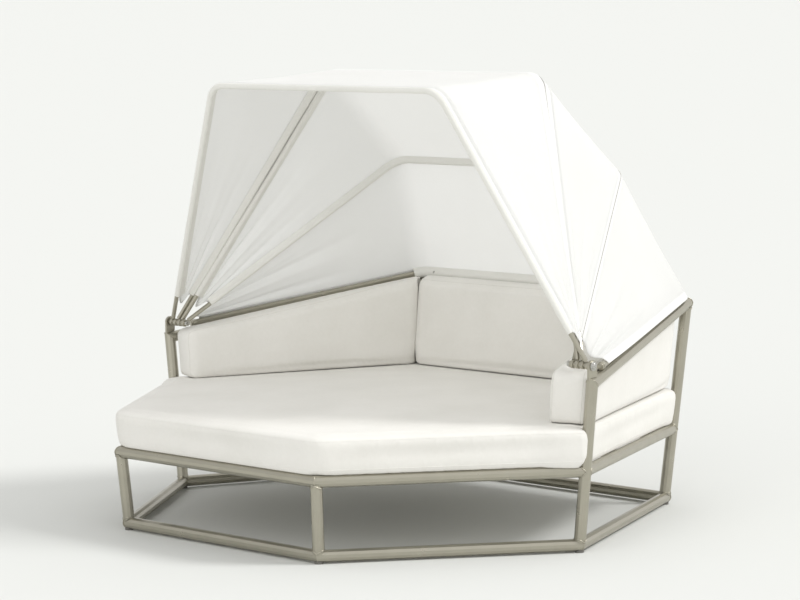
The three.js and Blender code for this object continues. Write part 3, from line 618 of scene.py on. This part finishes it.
# How far a place on one of the two middle bows is from the plane midway between them
def pairHalf(place):
    reach = math.hypot(place["point"].y - pivot.y, place["point"].z - pivot.z)
    return reach * math.radians(bowShape["pairAngle"] / 2)


# Canopy cloth

cloth = {
    "hem": 0.120, "drop": 0.042,      # from the axis at the bows; how much lower the edge hangs between them
    "out": 0.0015,                    # from a tube's surface to the middle of the cloth
    "sag": 0.007, "grip": 0.040,      # grip: strip beside a bow that keeps to that bow
    "steps": (44, 12, 22), "spanSteps": 44,
    "turned": 0.014, "turnedGap": 0.0013,
    "ripple": 0.0016, "rippleMm": 130,
    "flap": 0.012,                    # how far the rear panel hangs down outside the base bow
    "lipGap": 0.0016,                 # half the slit that shows between the two middle bows
    "lipSlope": 15,                   # degrees by which a panel leans to the plane between those bows
    "lipSteps": (1, 0.66, 0.33),
    "doubled": 0.015,                 # strip along a bow that is sewn double and lets no light through
}
# lip: the bow past which a panel goes on; folds: place across, width, height and how far up the leg
panels = {
    "rear": {"from": "base", "to": "rear", "lip": "base", "replaces": "rear_canopy",
             "flat": (0.64, 3.10), "area": 1.192, "sewnOn": ["base_sleeve", "rear_sleeve", "rear_seam"],
             "folds": [(0.18, 0.060, 0.010, 0.85), (0.40, 0.080, -0.006, 1.0), (0.60, 0.060, 0.009, 0.92),
                       (0.82, 0.050, -0.004, 0.70)]},
    "crown": {"from": "rear", "to": "middleRear", "lip": "middleRear", "replaces": "crown_canopy",
              "flat": (0.64, 3.05), "area": 1.061, "sewnOn": ["middle_rear_sleeve", "middle_seam"],
              "folds": [(0.24, 0.060, 0.006, 0.75), (0.50, 0.075, -0.006, 0.95), (0.74, 0.050, 0.007, 0.80)]},
    "front": {"from": "middleFront", "to": "front", "lip": "middleFront", "replaces": "front_canopy",
              "flat": (0.66, 3.05), "area": 1.130, "sewnOn": ["middle_front_sleeve", "front_sleeve"],
              "folds": [(0.30, 0.060, 0.006, 0.85), (0.58, 0.070, -0.006, 0.95), (0.80, 0.045, 0.005, 0.80)]},
}


# Where the cloth leaves a bow: on the tube's outside, square to the cloth's own run. On the rear
# bow two panels meet, so there both lie straight outwards in the bow's plane.
def clothEdge(bow, here, there):
    run = there["point"] - here["point"]
    across, square = run.dot(here["away"]), run.dot(here["square"])
    normal = here["away"].copy()
    if bow["name"] != "rear":
        normal = here["away"] * square - here["square"] * across
        normal = (normal if normal.dot(here["away"]) > 0 else -normal).normalized()
    flat = (here["away"] * across + here["square"] * square).normalized()
    return here["point"] + normal * (bow["radius"] + cloth["out"]), normal, flat


# How high the folds stand at a place across the panel and a share of the way up a leg. They fan
# out from the pivot, wander a little and are flatter on the right.
def foldHeight(folds, share, leg, side):
    height = 0
    for at, width, tall, reach in folds:
        wander = 0.035 * side * math.sin(9 * at) + 0.05 * math.sin(2.2 * leg + 7 * at + side)
        narrow = width * (0.55 + 0.6 * leg)
        ridge = math.exp(-((share - at - wander) / narrow) ** 2)
        if leg < reach:
            height += tall * ridge * math.sin(math.pi * (leg / reach) ** 0.55) * (0.62 if side > 0 else 1)
    return height


# The places of a row with its two turned hem points at either end
def atEnds(places):
    return [places[0]] * 2 + places + [places[-1]] * 2


# How far a panel goes on past its last bow: as a hem outside the base bow, or to the other
# panel between the two middle bows
def lipReach(bowName, place):
    if bowName == "base":
        return cloth["flap"]
    return max(0, pairHalf(place) - cloth["lipGap"]) / math.cos(math.radians(cloth["lipSlope"]))


# Rows by which a row at a bow goes on past it, the outermost first
def lipRows(bowName, row, places, others):
    return [[p - clothEdge(bows[bowName], here, there)[2] * lipReach(bowName, here) * step
             for p, here, there in zip(row, atEnds(places), atEnds(others))] for step in cloth["lipSteps"]]


# The two points of a hem turned under at an edge, its free end first
def turnedHem(edge, normal, place, inner):
    folded = edge - normal * cloth["turnedGap"]
    return [folded + (inner["point"] - place["point"]).normalized() * cloth["turned"], folded]


# Share of the way across a panel that a row stands at; next to a bow it is the doubled strip's width
def shareAcross(k, strip):
    last = cloth["spanSteps"]
    return k / last if k in (0, last) else strip + (1 - 2 * strip) * (k - 1) / (last - 2)


# One row of a panel, from the right hem over the top to the left one, with each point's share of
# the fold and the places on the two bows beside it
def panelRow(panel, k):
    start, end = bows[panel["from"]], bows[panel["to"]]
    evenly = k / cloth["spanSteps"]
    hem = cloth["hem"] - cloth["drop"] * 4 * evenly * (1 - evenly)
    fromPlaces, toPlaces = (wholeBow(bow, hem, cloth["steps"]) for bow in (start, end))
    last = len(fromPlaces) - 1
    row, shares, normals = [], [], []
    for j, (here, there) in enumerate(zip(fromPlaces, toPlaces)):
        a, normalA, _ = clothEdge(start, here, there)
        b, normalB, _ = clothEdge(end, there, here)
        span = (b - a).length
        share = shareAcross(k, min(0.2, cloth["doubled"] / span))
        arch = 4 * share * (1 - share)
        normal = normalA.lerp(normalB, share).normalized()
        middle = a.lerp(b, share)
        leg = min(j, last - j) / cloth["steps"][0]
        height = foldHeight(panel["folds"], share, leg, 1 if j <= last / 2 else -1) * min(1, arch * 2)
        height -= cloth["sag"] * span * arch ** 2
        ripple = noise.noise(middle * perMetre(cloth["rippleMm"])) * cloth["ripple"] * arch
        row.append(middle + normal * (height + ripple))
        normals.append(normal)
        grip = min(0.25, cloth["grip"] / span)
        shares.append(min(1, max(0, (share - grip) / (1 - 2 * grip))))
    rightHem = turnedHem(row[0], normals[0], *fromPlaces[:2])
    leftHem = turnedHem(row[-1], normals[-1], *fromPlaces[:-3:-1])
    return rightHem + row + leftHem[::-1], atEnds(shares), fromPlaces, toPlaces


def makePanel(key, panel):
    rows, weights = [], []
    for k in range(cloth["spanSteps"] + 1):
        row, shares, fromPlaces, toPlaces = panelRow(panel, k)
        lips = []
        if k == 0 and panel["lip"] == panel["from"]:
            lips = lipRows(panel["lip"], row, fromPlaces, toPlaces)
        elif k == cloth["spanSteps"] and panel["lip"] == panel["to"]:
            lips = lipRows(panel["lip"], row, toPlaces, fromPlaces)
        rows += lips + [row] if k == 0 else [row] + lips[::-1]
        weights += shares * (1 + len(lips))
    piece = newPiece(f"{key}_canopy_cloth", [p for row in rows for p in row],
                     netFaces(len(rows), len(rows[0])), canopyCloth)
    piece.data.materials.append(hemCloth)
    before = len(cloth["lipSteps"]) if panel["lip"] == panel["from"] else 0
    after = len(cloth["lipSteps"]) - before
    for face in piece.data.polygons:
        strip = face.index // (len(rows[0]) - 1)
        face.material_index = int(strip <= before or strip >= len(rows) - 2 - after)
    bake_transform(piece)
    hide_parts(panel["replaces"])
    return piece


canopy = {key: makePanel(key, panel) for key, panel in panels.items()}
print("canopy panels made")


# Sleeves round the bows

sleeve = {
    "clear": 0.0012, "arcSteps": 20, "leadSteps": 4, "steps": (60, 16, 40),
    "wrinkle": 0.0008, "wrinkleMm": 28, "wrinkleLift": 0.6,     # wrinkles stand out more than they sink
    "pucker": 0.0016, "puckerMm": 14,
    "calm": 0.3,        # share of the wrinkles that is left where two sleeves press together
    "gap": 0.0012,      # half the slit that is left between the two middle sleeves
    "under": 0.6,       # radians past the crest, under the panel
    "sunk": 0.0014,     # how far under the panel its edges are sewn
}

# front, back: the bow that the cloth on that side runs to, and how far from the tube it is sewn down;
# partner: the side (1 front, -1 back) on which a second bow lies close by
sleeves = {
    "front_sleeve": {"bow": "front", "back": ("middleFront", 0.026), "slack": 0.0022},
    "middle_front_sleeve": {"bow": "middleFront", "front": ("front", 0.008), "partner": -1},
    "middle_rear_sleeve": {"bow": "middleRear", "back": ("rear", 0.018), "partner": 1},
    "rear_sleeve": {"bow": "rear", "front": ("middleRear", 0.010), "back": ("base", 0.007), "slack": 0.002},
    "base_sleeve": {"bow": "base", "front": ("rear", 0.009), "slack": 0.005, "start": 0.022},
}


# From one anchor to the tube, round its inner side and off to the other anchor, as an outline
# in (outwards, square) about the tube's middle
def pocketOutline(first, last, radius, steps):
    def polar(p):
        return math.hypot(*p), math.atan2(p[1], p[0])

    (d1, a1), (d2, a2) = polar(first), polar(last)
    begin = a1 + math.acos(min(1, radius / d1))
    finish = a2 - math.acos(min(1, radius / d2))
    while finish < begin:
        finish += 2 * math.pi
    turns = [begin + (finish - begin) * k / steps for k in range(steps + 1)]
    arc = [(radius * math.cos(turn), radius * math.sin(turn)) for turn in turns]

    def straight(a, b, k):
        return tuple(p + (q - p) * k / sleeve["leadSteps"] for p, q in zip(a, b))

    lead = [straight(first, arc[0], k) for k in range(sleeve["leadSteps"])]
    tail = [straight(arc[-1], last, k + 1) for k in range(sleeve["leadSteps"])]
    return lead + arc + tail


# Where the two edges of a sleeve are sewn down, as (outwards, square) about the tube's middle
def sleeveAnchors(look, bow, place, share, side):
    radius = bow["radius"] + sleeve["clear"]
    anchors = []
    for key, under in (("front", -sleeve["under"]), ("back", sleeve["under"])):
        if key not in look:
            anchors.append((radius * math.cos(under), radius * math.sin(under)))
            continue
        otherBow, reach = bows[look[key][0]], look[key][1]
        there = bowPlace(otherBow, share * otherBow["halfLength"], side)
        edge, normal, run = clothEdge(bow, place, there)
        at = edge + run * (bow["radius"] + reach) - normal * sleeve["sunk"] - place["point"]
        anchors.append((at.dot(place["away"]), at.dot(place["square"])))
    return anchors


# One point of a sleeve, moved out for wrinkles and slack, and towards a second bow close by
def sleevePoint(look, place, a, q, radius, along, puckered):
    outwards = place["away"] * a + place["square"] * q
    point = place["point"] + outwards
    bump = (noise.noise(point * perMetre(sleeve["wrinkleMm"])) + sleeve["wrinkleLift"]) * sleeve["wrinkle"]
    inner = min(1, max(0, -a / radius))
    bump += look.get("slack", 0) * inner ** 2
    if puckered:
        wave = 0.5 + 0.5 * math.sin(along * 2 * math.pi * perMetre(sleeve["puckerMm"]))
        bump += sleeve["pucker"] * wave * inner
    if "partner" in look and q * look["partner"] > 0:
        spare = max(0, pairHalf(place) - sleeve["gap"] - radius)
        share = smoothstep(abs(q) / radius / 0.35) * smoothstep((a / radius + 1) / 0.9)
        point += place["square"] * (look["partner"] * spare * share)
        bump *= sleeve["calm"]
    bump *= smoothstep(0.3 - a / radius)      # smooth outside, where it lies under the panel
    return point + outwards.normalized() * max(0, bump)


def makeSleeve(name, look):
    bow = bows[look["bow"]]
    radius = bow["radius"] + sleeve["clear"]
    first = bow["bendStart"] + look["start"] if "start" in look else cloth["hem"]
    distances = halfDistances(bow, min(first, bow["bendStart"] - 0.01), sleeve["steps"])
    half = [first] + [d for d in distances if d > first]
    rows = []
    for side, distances in ((1, half), (-1, half[-2::-1])):
        for along in distances:
            place = bowPlace(bow, along, side)
            anchors = sleeveAnchors(look, bow, place, along / half[-1], side)
            puckered = bow["bendStart"] < along < bow["bendStart"] + bow["arc"]
            rows.append([sleevePoint(look, place, a, q, radius, along, puckered)
                         for a, q in pocketOutline(*anchors, radius, sleeve["arcSteps"])])
    piece = newPiece(name, [p for row in rows for p in row], netFaces(len(rows), len(rows[0])),
                     sleeveCloth, bow["body"])
    print(name, "area", round(sum(face.area for face in piece.data.polygons), 4))


for name, look in sleeves.items():
    makeSleeve(name, look)


# Seams seen from outside: over the rear bow, and deep in the slit between the two middle bows
outerSeams = {
    "rear_seam": {"bows": ["rear"], "body": "rear_bow", "rise": 0.0019, "thick": 0.0009},
    "middle_seam": {"bows": ["middleFront", "middleRear"], "body": "middle_bow",
                    "rise": 0.0018, "thick": 0.0015},
}
seamSteps = (120, 20, 90)
seamStart = 0.124     # from the axis


def makeOuterSeam(name, look):
    sides = [wholeBow(bows[bow], seamStart, seamSteps) for bow in look["bows"]]
    rise = bows[look["bows"][0]]["radius"] + look["rise"]
    path = []
    for places in zip(*sides):
        middle = sum((place["point"] for place in places), Vector()) / len(places)
        path.append(middle + places[0]["away"] * rise)
    # The bead's dark colour is painted shade along the seam, and deep in the slit between the middle bows
    beads(name, [path], stitches(look["thick"]), canopySeamPaintedShade, look["body"], False, 6)


# The three nodes of a bow
def bowNodes(name):
    stem = "".join("_" + c.lower() if c.isupper() else c for c in name)
    return [f"{stem}_bow_{part}" for part in ("right_leg", "left_leg", "cross_bar")]


for name, look in outerSeams.items():
    makeOuterSeam(name, look)
for key, panel in panels.items():
    bowNodes(panel["from"]) + bowNodes(panel["to"])
print("sleeves made")


# Small fittings

# at, before, past: places along the base bow, from its end, before its bend and past its bend
fittings = {
    "collar": {"radius": 0.0135, "length": 0.013, "rim": 0.002},
    "plug": {"radius": 0.0122, "length": 0.006, "rim": 0.0025, "at": 0.085, "out": 0.0035},
    "band": {"radius": 0.0137, "length": 0.013, "rim": 0.0015, "at": (0.098, 0.62)},
    "foot": {"radius": 0.0055, "short": 0.018},     # it ends inside the arm rail, this far off its middle
    "button": {"radius": 0.0045, "height": 0.0030, "before": 0.014, "out": -0.0004, "lean": 0.45},
    "rivet": {"radius": 0.0052, "height": 0.002, "past": 0.02, "out": 0.0052, "lean": 0.7},
    "boltDome": {"radius": 0.0105, "height": 0.0035},
}


# A disc with softened rims, its first end at a point
def discAt(point, direction, size):
    return turned(point, direction, softDisc(size["length"], size["radius"], size["rim"]))


def domeAt(point, direction, size, sides=16):
    return turned(point, direction, dome(size["radius"], size["height"]), sides)


def makeCollars():
    size, across = fittings["collar"], Vector((1, 0, 0))
    for name, bow in bows.items():
        if name != "base":
            forms = [discAt(Vector((side * bow["hub"] - size["length"] / 2, pivot.y, pivot.z)), across, size)
                     for side in (1, -1)]
            gathered(f"{name}_bow_collars", forms, frameCoat, bow["body"])


# On one side of the base bow: its end plug, the bands and feet that hold it over the arm rail,
# the snap button where it comes apart, a rivet past its bend, and the dome of the pivot bolt
def makeFittings():
    base, plug, band, foot = bows["base"], fittings["plug"], fittings["band"], fittings["foot"]
    button, rivet = fittings["button"], fittings["rivet"]
    rails = {1: frameLines()["top"][0], -1: frameLines()["top"][2][::-1]}
    plugs, bands, feet, buttons, heads = [], [], [], [], []
    for side, (railStart, railEnd) in rails.items():
        legEnd = bowPlace(base, plug["at"], side)["point"]
        direction = (bowPlace(base, 0.2, side)["point"] - legEnd).normalized()
        plugs.append(discAt(legEnd - direction * plug["out"], direction, plug))
        line = (railEnd - railStart).normalized()
        for at in band["at"]:
            middle = bowPlace(base, at, side)["point"]
            bands.append(discAt(middle - direction * band["length"] / 2, direction, band))
            down = railStart + line * (middle - railStart).dot(line) - middle
            profile = [(0, foot["radius"]), (down.length - foot["short"], foot["radius"])]
            feet.append(turned(middle, down, profile, 16))
        joint = bowPlace(base, base["bendStart"] - bowShape["stub"] - button["before"], side)
        facing = (joint["square"] - joint["away"] * button["lean"]).normalized()
        buttons.append(domeAt(joint["point"] + facing * (base["radius"] + button["out"]), facing, button))
        corner = bowPlace(base, base["bendStart"] + base["arc"] + rivet["past"], side)
        facing = (corner["square"] * rivet["lean"] - corner["away"]).normalized()
        heads.append(domeAt(corner["point"] + facing * (base["radius"] + rivet["out"]), facing, rivet))
        boltEnd = Vector((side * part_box("right_pivot_bolt")[1].x, pivot.y, pivot.z))
        heads.append(domeAt(boltEnd, Vector((side, 0, 0)), fittings["boltDome"], 24))
    gathered("base_bow_plugs", plugs, frameCoat, "frame")
    gathered("base_bow_bands", bands + feet, frameCoat, "frame")
    gathered("snap_buttons", buttons, turnedSteel, "frame")
    gathered("rivet_heads", heads, turnedSteel, "frame")


makeCollars()
makeFittings()
print("fittings made")


# Cushions

# rise, pull: how far a cover may swell or sink; ends: the frame corners that a side cushion runs
# between; square: its sides with square edges, and how far each is let out; front: its bare end
sideCushion = {"voxel": 0.009, "rise": 0.007, "pull": 0.002, "fill": 0.75}
pads = {
    "seat": {"voxel": 0.014, "rise": 0.004, "pull": 0.002, "fill": 0.85},
    "right": {**sideCushion, "ends": (2, 3), "front": "start",
              "square": {"down": 0.0, "outer": 0.007, "inner": 0.0, "end": 0.010}},
    "back": {**sideCushion, "ends": (3, 4), "square": {"down": 0.0, "outer": 0.007, "inner": 0.0}},
    "left": {**sideCushion, "ends": (4, 5), "front": "end",
             "square": {"down": 0.0, "outer": 0.007, "inner": 0.0, "start": 0.010}},
}
padding = {
    "pressure": 4.0, "shrink": 0.004, "steps": 20, "quality": 4,
    "even": 0.040,                         # swelling is evened out over this distance
    "slide": 0.25, "slideMost": 0.008,     # share of the sideways swelling that is kept, up to how much
    "edge": 0.026, "squareness": 6.0,
    "letOut": (0.0, 0.0, 0.026, 0.024, 0.026, 0.0),           # the seat's sides, from the front one on
    "letOutOver": 0.09,                    # distance over which a let out side fades into the rest
    "railSag": (0.006, 0.006, 0.013, 0.013, 0.013, 0.006),    # how far the seat's cover hangs over each rail
    "sagFrom": 0.014, "sagOver": 0.024,
    "frontCorner": 0.030,                  # rounding at the side cushions' front ends
    "lean": 0.026, "leanInset": 0.17, "leanReach": 0.30,      # the joint of two cushions leans with the posts
    "clear": 0.0006,
    "seamRadius": 0.0010, "seamPitch": 0.005, "sideSeam": 0.016, "seatSeams": (0.110, 0.016),
}
upward = Vector((0, 0, 1))


# The solids of some cushions, for finding the nearest place on them
def treeOf(keys):
    points, faces = [], []
    for key in keys:
        mesh = nodes[f"{key}_cushion"].data
        faces += [[len(points) + k for k in face.vertices] for face in mesh.polygons]
        points += [v.co.copy() for v in mesh.vertices]
    return BVHTree.FromPolygons(points, faces)


# The outward normal of each side of the seat, with a corner that it goes through
def sideNormals():
    corners = [frameCorner(k, tubes["seatRise"]) for k in range(6)]
    runs = [corners[(k + 1) % 6] - corners[k] for k in range(6)]
    return [(Vector((run.y, -run.x, 0)).normalized(), corner) for run, corner in zip(runs, corners)]


# How far each point swells along its own normal, and how it slides beside that, in a short cloth
# simulation with air inside
def swelling(piece, start):
    for v, at in zip(piece.data.vertices, start):
        v.co = at - v.normal * padding["shrink"]
    small = [v.co.copy() for v in piece.data.vertices]
    directions = [v.normal.copy() for v in piece.data.vertices]
    puff = piece.modifiers.new("puff", "CLOTH")
    puff.settings.use_pressure = True
    puff.settings.uniform_pressure_force = padding["pressure"]
    puff.settings.quality = padding["quality"]
    puff.settings.effector_weights.gravity = 0
    puff.point_cache.frame_start, puff.point_cache.frame_end = 1, padding["steps"]
    for step in range(1, padding["steps"] + 1):
        scene.frame_set(step)
    swollen = piece.evaluated_get(bpy.context.evaluated_depsgraph_get()).to_mesh()
    moves = [v.co - at for v, at in zip(swollen.vertices, small)]
    piece.modifiers.clear()
    scene.frame_set(1)
    return [(move.dot(n), move - n * move.dot(n)) for move, n in zip(moves, directions)]


# The flat that a piece has in one direction: its normal and how far out it lies
def flatIn(mesh, direction, least):
    faces = [face for face in mesh.polygons if face.normal.dot(direction) > least]
    normal = sum((face.normal * face.area for face in faces), Vector()).normalized()
    reach = sum(face.center.dot(normal) * face.area for face in faces)
    return normal, reach / sum(face.area for face in faces)


# Rounded edges between the flats are cut squarer, and a flat may be let out
def squareEdges(points, flats):
    radius, power, over = padding["edge"], padding["squareness"], padding["letOutOver"]
    for p in points:
        for normal, reach, out in flats:
            if out:
                p += normal * out * smoothstep((normal.dot(p) - reach + over) / over)
        near = [(normal, (normal.dot(p) - reach - out + radius) / radius) for normal, reach, out in flats]
        near = sorted([(normal, min(t, 1.0)) for normal, t in near if t > 0], key=lambda pair: -pair[1])
        lowest = [pair for pair in near if pair[0].z < -0.9]
        near = lowest + [pair for pair in near if pair[0].z >= -0.9][:1]    # upright corners stay round
        if len(near) > 1:
            size = sum(t ** power for _, t in near) ** (1 / power)
            grow = math.sqrt(sum(t * t for _, t in near)) / size - 1
            for normal, t in near:
                p += normal * (t * radius * grow)


# The edge between two flats, each a normal and how far out it lies, is rounded to a larger radius
def roundEdge(points, first, second, radius):
    for p in points:
        a, b = ((normal.dot(p) - reach + radius) / radius for normal, reach in (first, second))
        size = math.hypot(a, b)
        if a > 0 and b > 0 and size > 1:
            p += (first[0] * a + second[0] * b) * (radius * (1 / size - 1))


# The seat's cover hangs a little way down over the rails
def sagOverRails(points, low):
    sides = sideNormals()
    for p in points:
        drop = (low + padding["edge"] - p.z) / padding["edge"]
        if drop > 0:
            p.z -= min(1, drop) * max(
                sag * smoothstep((n.dot(p) - n.dot(corner) + padding["sagFrom"]) / padding["sagOver"])
                for (n, corner), sag in zip(sides, padding["railSag"]))


# The upright joints between back cushion and side cushions lean towards the middle at the top
def leanJoints(points, low, high):
    for k, side in ((3, -1), (4, 1)):
        corner = frameCorner(k, tubes["seatRise"])
        joint = corner - corner.normalized() * padding["leanInset"]
        for p in points:
            near = smoothstep(1 - math.hypot(p.x - joint.x, p.y - joint.y) / padding["leanReach"])
            p.x += side * padding["lean"] * near * (p.z - low) / (high - low)


def smoothed(values, mesh, rounds):
    beside = [[] for _ in values]
    for edge in mesh.edges:
        a, b = edge.vertices
        beside[a].append(b)
        beside[b].append(a)
    for _ in range(rounds):
        values = [(v + sum(values[k] for k in near) / len(near)) / 2 for v, near in zip(values, beside)]
    return values


# A point is pushed off the frame's tubes and off the cushions beside it
def keepClear(point, lines, beside):
    for a, b in lines:
        run = b - a
        share = min(1, max(0, (point - a).dot(run) / run.length_squared))
        offset = point - (a + run * share)
        if offset.length < tubes["radius"] + padding["clear"]:
            point = point + offset.normalized() * (tubes["radius"] + padding["clear"] - offset.length)
    near, normal, _, _ = beside.find_nearest(point, 0.05)
    if near is not None and (point - near).dot(normal) < padding["clear"]:
        point = near + normal * padding["clear"]
    return point


# Closed lines in which a plane cuts a piece, each in order
def cutLoops(piece, at, normal):
    bm = bmesh.new()
    bm.from_mesh(piece.evaluated_get(bpy.context.evaluated_depsgraph_get()).to_mesh())
    everything = bm.verts[:] + bm.edges[:] + bm.faces[:]
    cut = bmesh.ops.bisect_plane(bm, geom=everything, plane_co=at, plane_no=normal)
    edges = dict.fromkeys(e for e in cut["geom_cut"] if isinstance(e, bmesh.types.BMEdge))
    loops = []
    while edges:
        edge, _ = edges.popitem()
        path, last = [edge.verts[0], edge.verts[1]], edge.verts[1]
        while True:
            ahead = next((e for e in last.link_edges if e in edges), None)
            if ahead is None:
                break
            edges.pop(ahead)
            last = ahead.other_vert(last)
            path.append(last)
        if len(path) > 20:
            loops.append([v.co.copy() for v in path[:-1]])
    bm.free()
    return loops


def evenSteps(path, pitch):
    lengths = [0]
    closed = path + [path[0]]
    for a, b in zip(closed, closed[1:]):
        lengths.append(lengths[-1] + (b - a).length)
    count = max(8, round(lengths[-1] / pitch))
    steps, k = [], 0
    for j in range(count):
        at = lengths[-1] * j / count
        while lengths[k + 1] < at:
            k += 1
        share = (at - lengths[k]) / max(1e-9, lengths[k + 1] - lengths[k])
        steps.append(closed[k].lerp(closed[k + 1], share))
    return steps


def makeSeams(key, piece, planes):
    paths = [evenSteps(loop, padding["seamPitch"])
             for at, normal in planes for loop in cutLoops(piece, at, normal)]
    # The side cushions' seams take a darker colour as painted shade of the seam's crease; the seat's keep the
    # cushion cloth's colour
    beads(f"{key}_cushion_seams", paths, stitches(padding["seamRadius"]),
          cushionCloth if key == "seat" else cushionSeamPaintedShade, "frame", True, 6)


# Both of these shape the points of a cushion and return the planes in which its seams lie
def shapeSeat(points, mesh, low):
    flats = [(-upward, -low.z, 0.0)]
    flats += [(normal, flatIn(mesh, normal, 0.85)[1], out)
              for (normal, _), out in zip(sideNormals(), padding["letOut"])]
    squareEdges(points, flats)
    sagOverRails(points, low.z)
    return [(upward * (low.z + height), upward) for height in padding["seatSeams"]]


def shapeSideCushion(points, mesh, pad, low, high):
    a, b = (frameCorner(k, tubes["armRise"]) for k in pad["ends"])
    run = (b - a).normalized()
    outer = Vector((run.y, -run.x, 0)).normalized()
    ways = {"down": -upward, "outer": outer, "inner": -outer, "start": -run, "end": run}
    squareEdges(points, [(*flatIn(mesh, ways[way], 0.8), out) for way, out in pad["square"].items()])
    if "front" in pad:
        front = ways[pad["front"]]
        top = (upward + front * 0.1).normalized()
        roundEdge(points, flatIn(mesh, front, 0.8), flatIn(mesh, top, 0.9), padding["frontCorner"])
    leanJoints(points, low.z, high.z)
    covers = [flatIn(mesh, way, 0.8) for way in (outer, -outer)]
    return [(normal * (reach - padding["sideSeam"]), normal) for normal, reach in covers]


def makePad(key, pad):
    node = f"{key}_cushion"
    source = nodes[node]
    mesh = source.data.copy()
    mesh.name = f"{node}_pad"
    piece = bpy.data.objects.new(mesh.name, mesh)
    scene.collection.objects.link(piece)
    remesh = piece.modifiers.new("even net", "REMESH")
    remesh.mode, remesh.voxel_size = "VOXEL", pad["voxel"]
    piece.data = bpy.data.meshes.new_from_object(piece.evaluated_get(bpy.context.evaluated_depsgraph_get()))
    piece.modifiers.clear()
    points = [v.co.copy() for v in piece.data.vertices]
    directions = [v.normal.copy() for v in piece.data.vertices]
    moves = swelling(piece, points)
    rounds = round(2 * (padding["even"] / pad["voxel"]) ** 2)
    evened = smoothed([along for along, _ in moves], piece.data, rounds)
    for k, (along, (_, sideways)) in enumerate(zip(evened, moves)):
        limit = pad["rise"] if along > 0 else pad["pull"]
        points[k] += directions[k] * limit * math.tanh(along / limit)
        slide = min(1, padding["slideMost"] / max(1e-9, sideways.length))
        points[k] += sideways * (padding["slide"] * slide)
    low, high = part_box(node)
    if key == "seat":
        planes = shapeSeat(points, source.data, low)
    else:
        planes = shapeSideCushion(points, source.data, pad, low, high)
    beside = treeOf([other for other in pads if other != key])
    lines = frameLines()
    lines = lines["seat"] + lines["posts"][2:] + lines["top"]
    for v, point in zip(piece.data.vertices, points):
        v.co = keepClear(point, lines, beside)
    piece.data.polygons.foreach_set("use_smooth", [True] * len(piece.data.polygons))
    piece.data.materials.clear()
    piece.data.materials.append(cushionCloth)
    finer = piece.modifiers.new("finer", "SUBSURF")
    finer.levels = finer.render_levels = 1
    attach(piece, "frame")
    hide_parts(node)
    bpy.context.view_layer.update()
    makeSeams(key, piece, planes)
    print(piece.name, len(piece.data.vertices), "points")


for key, pad in pads.items():
    makePad(key, pad)
print("cushions made")
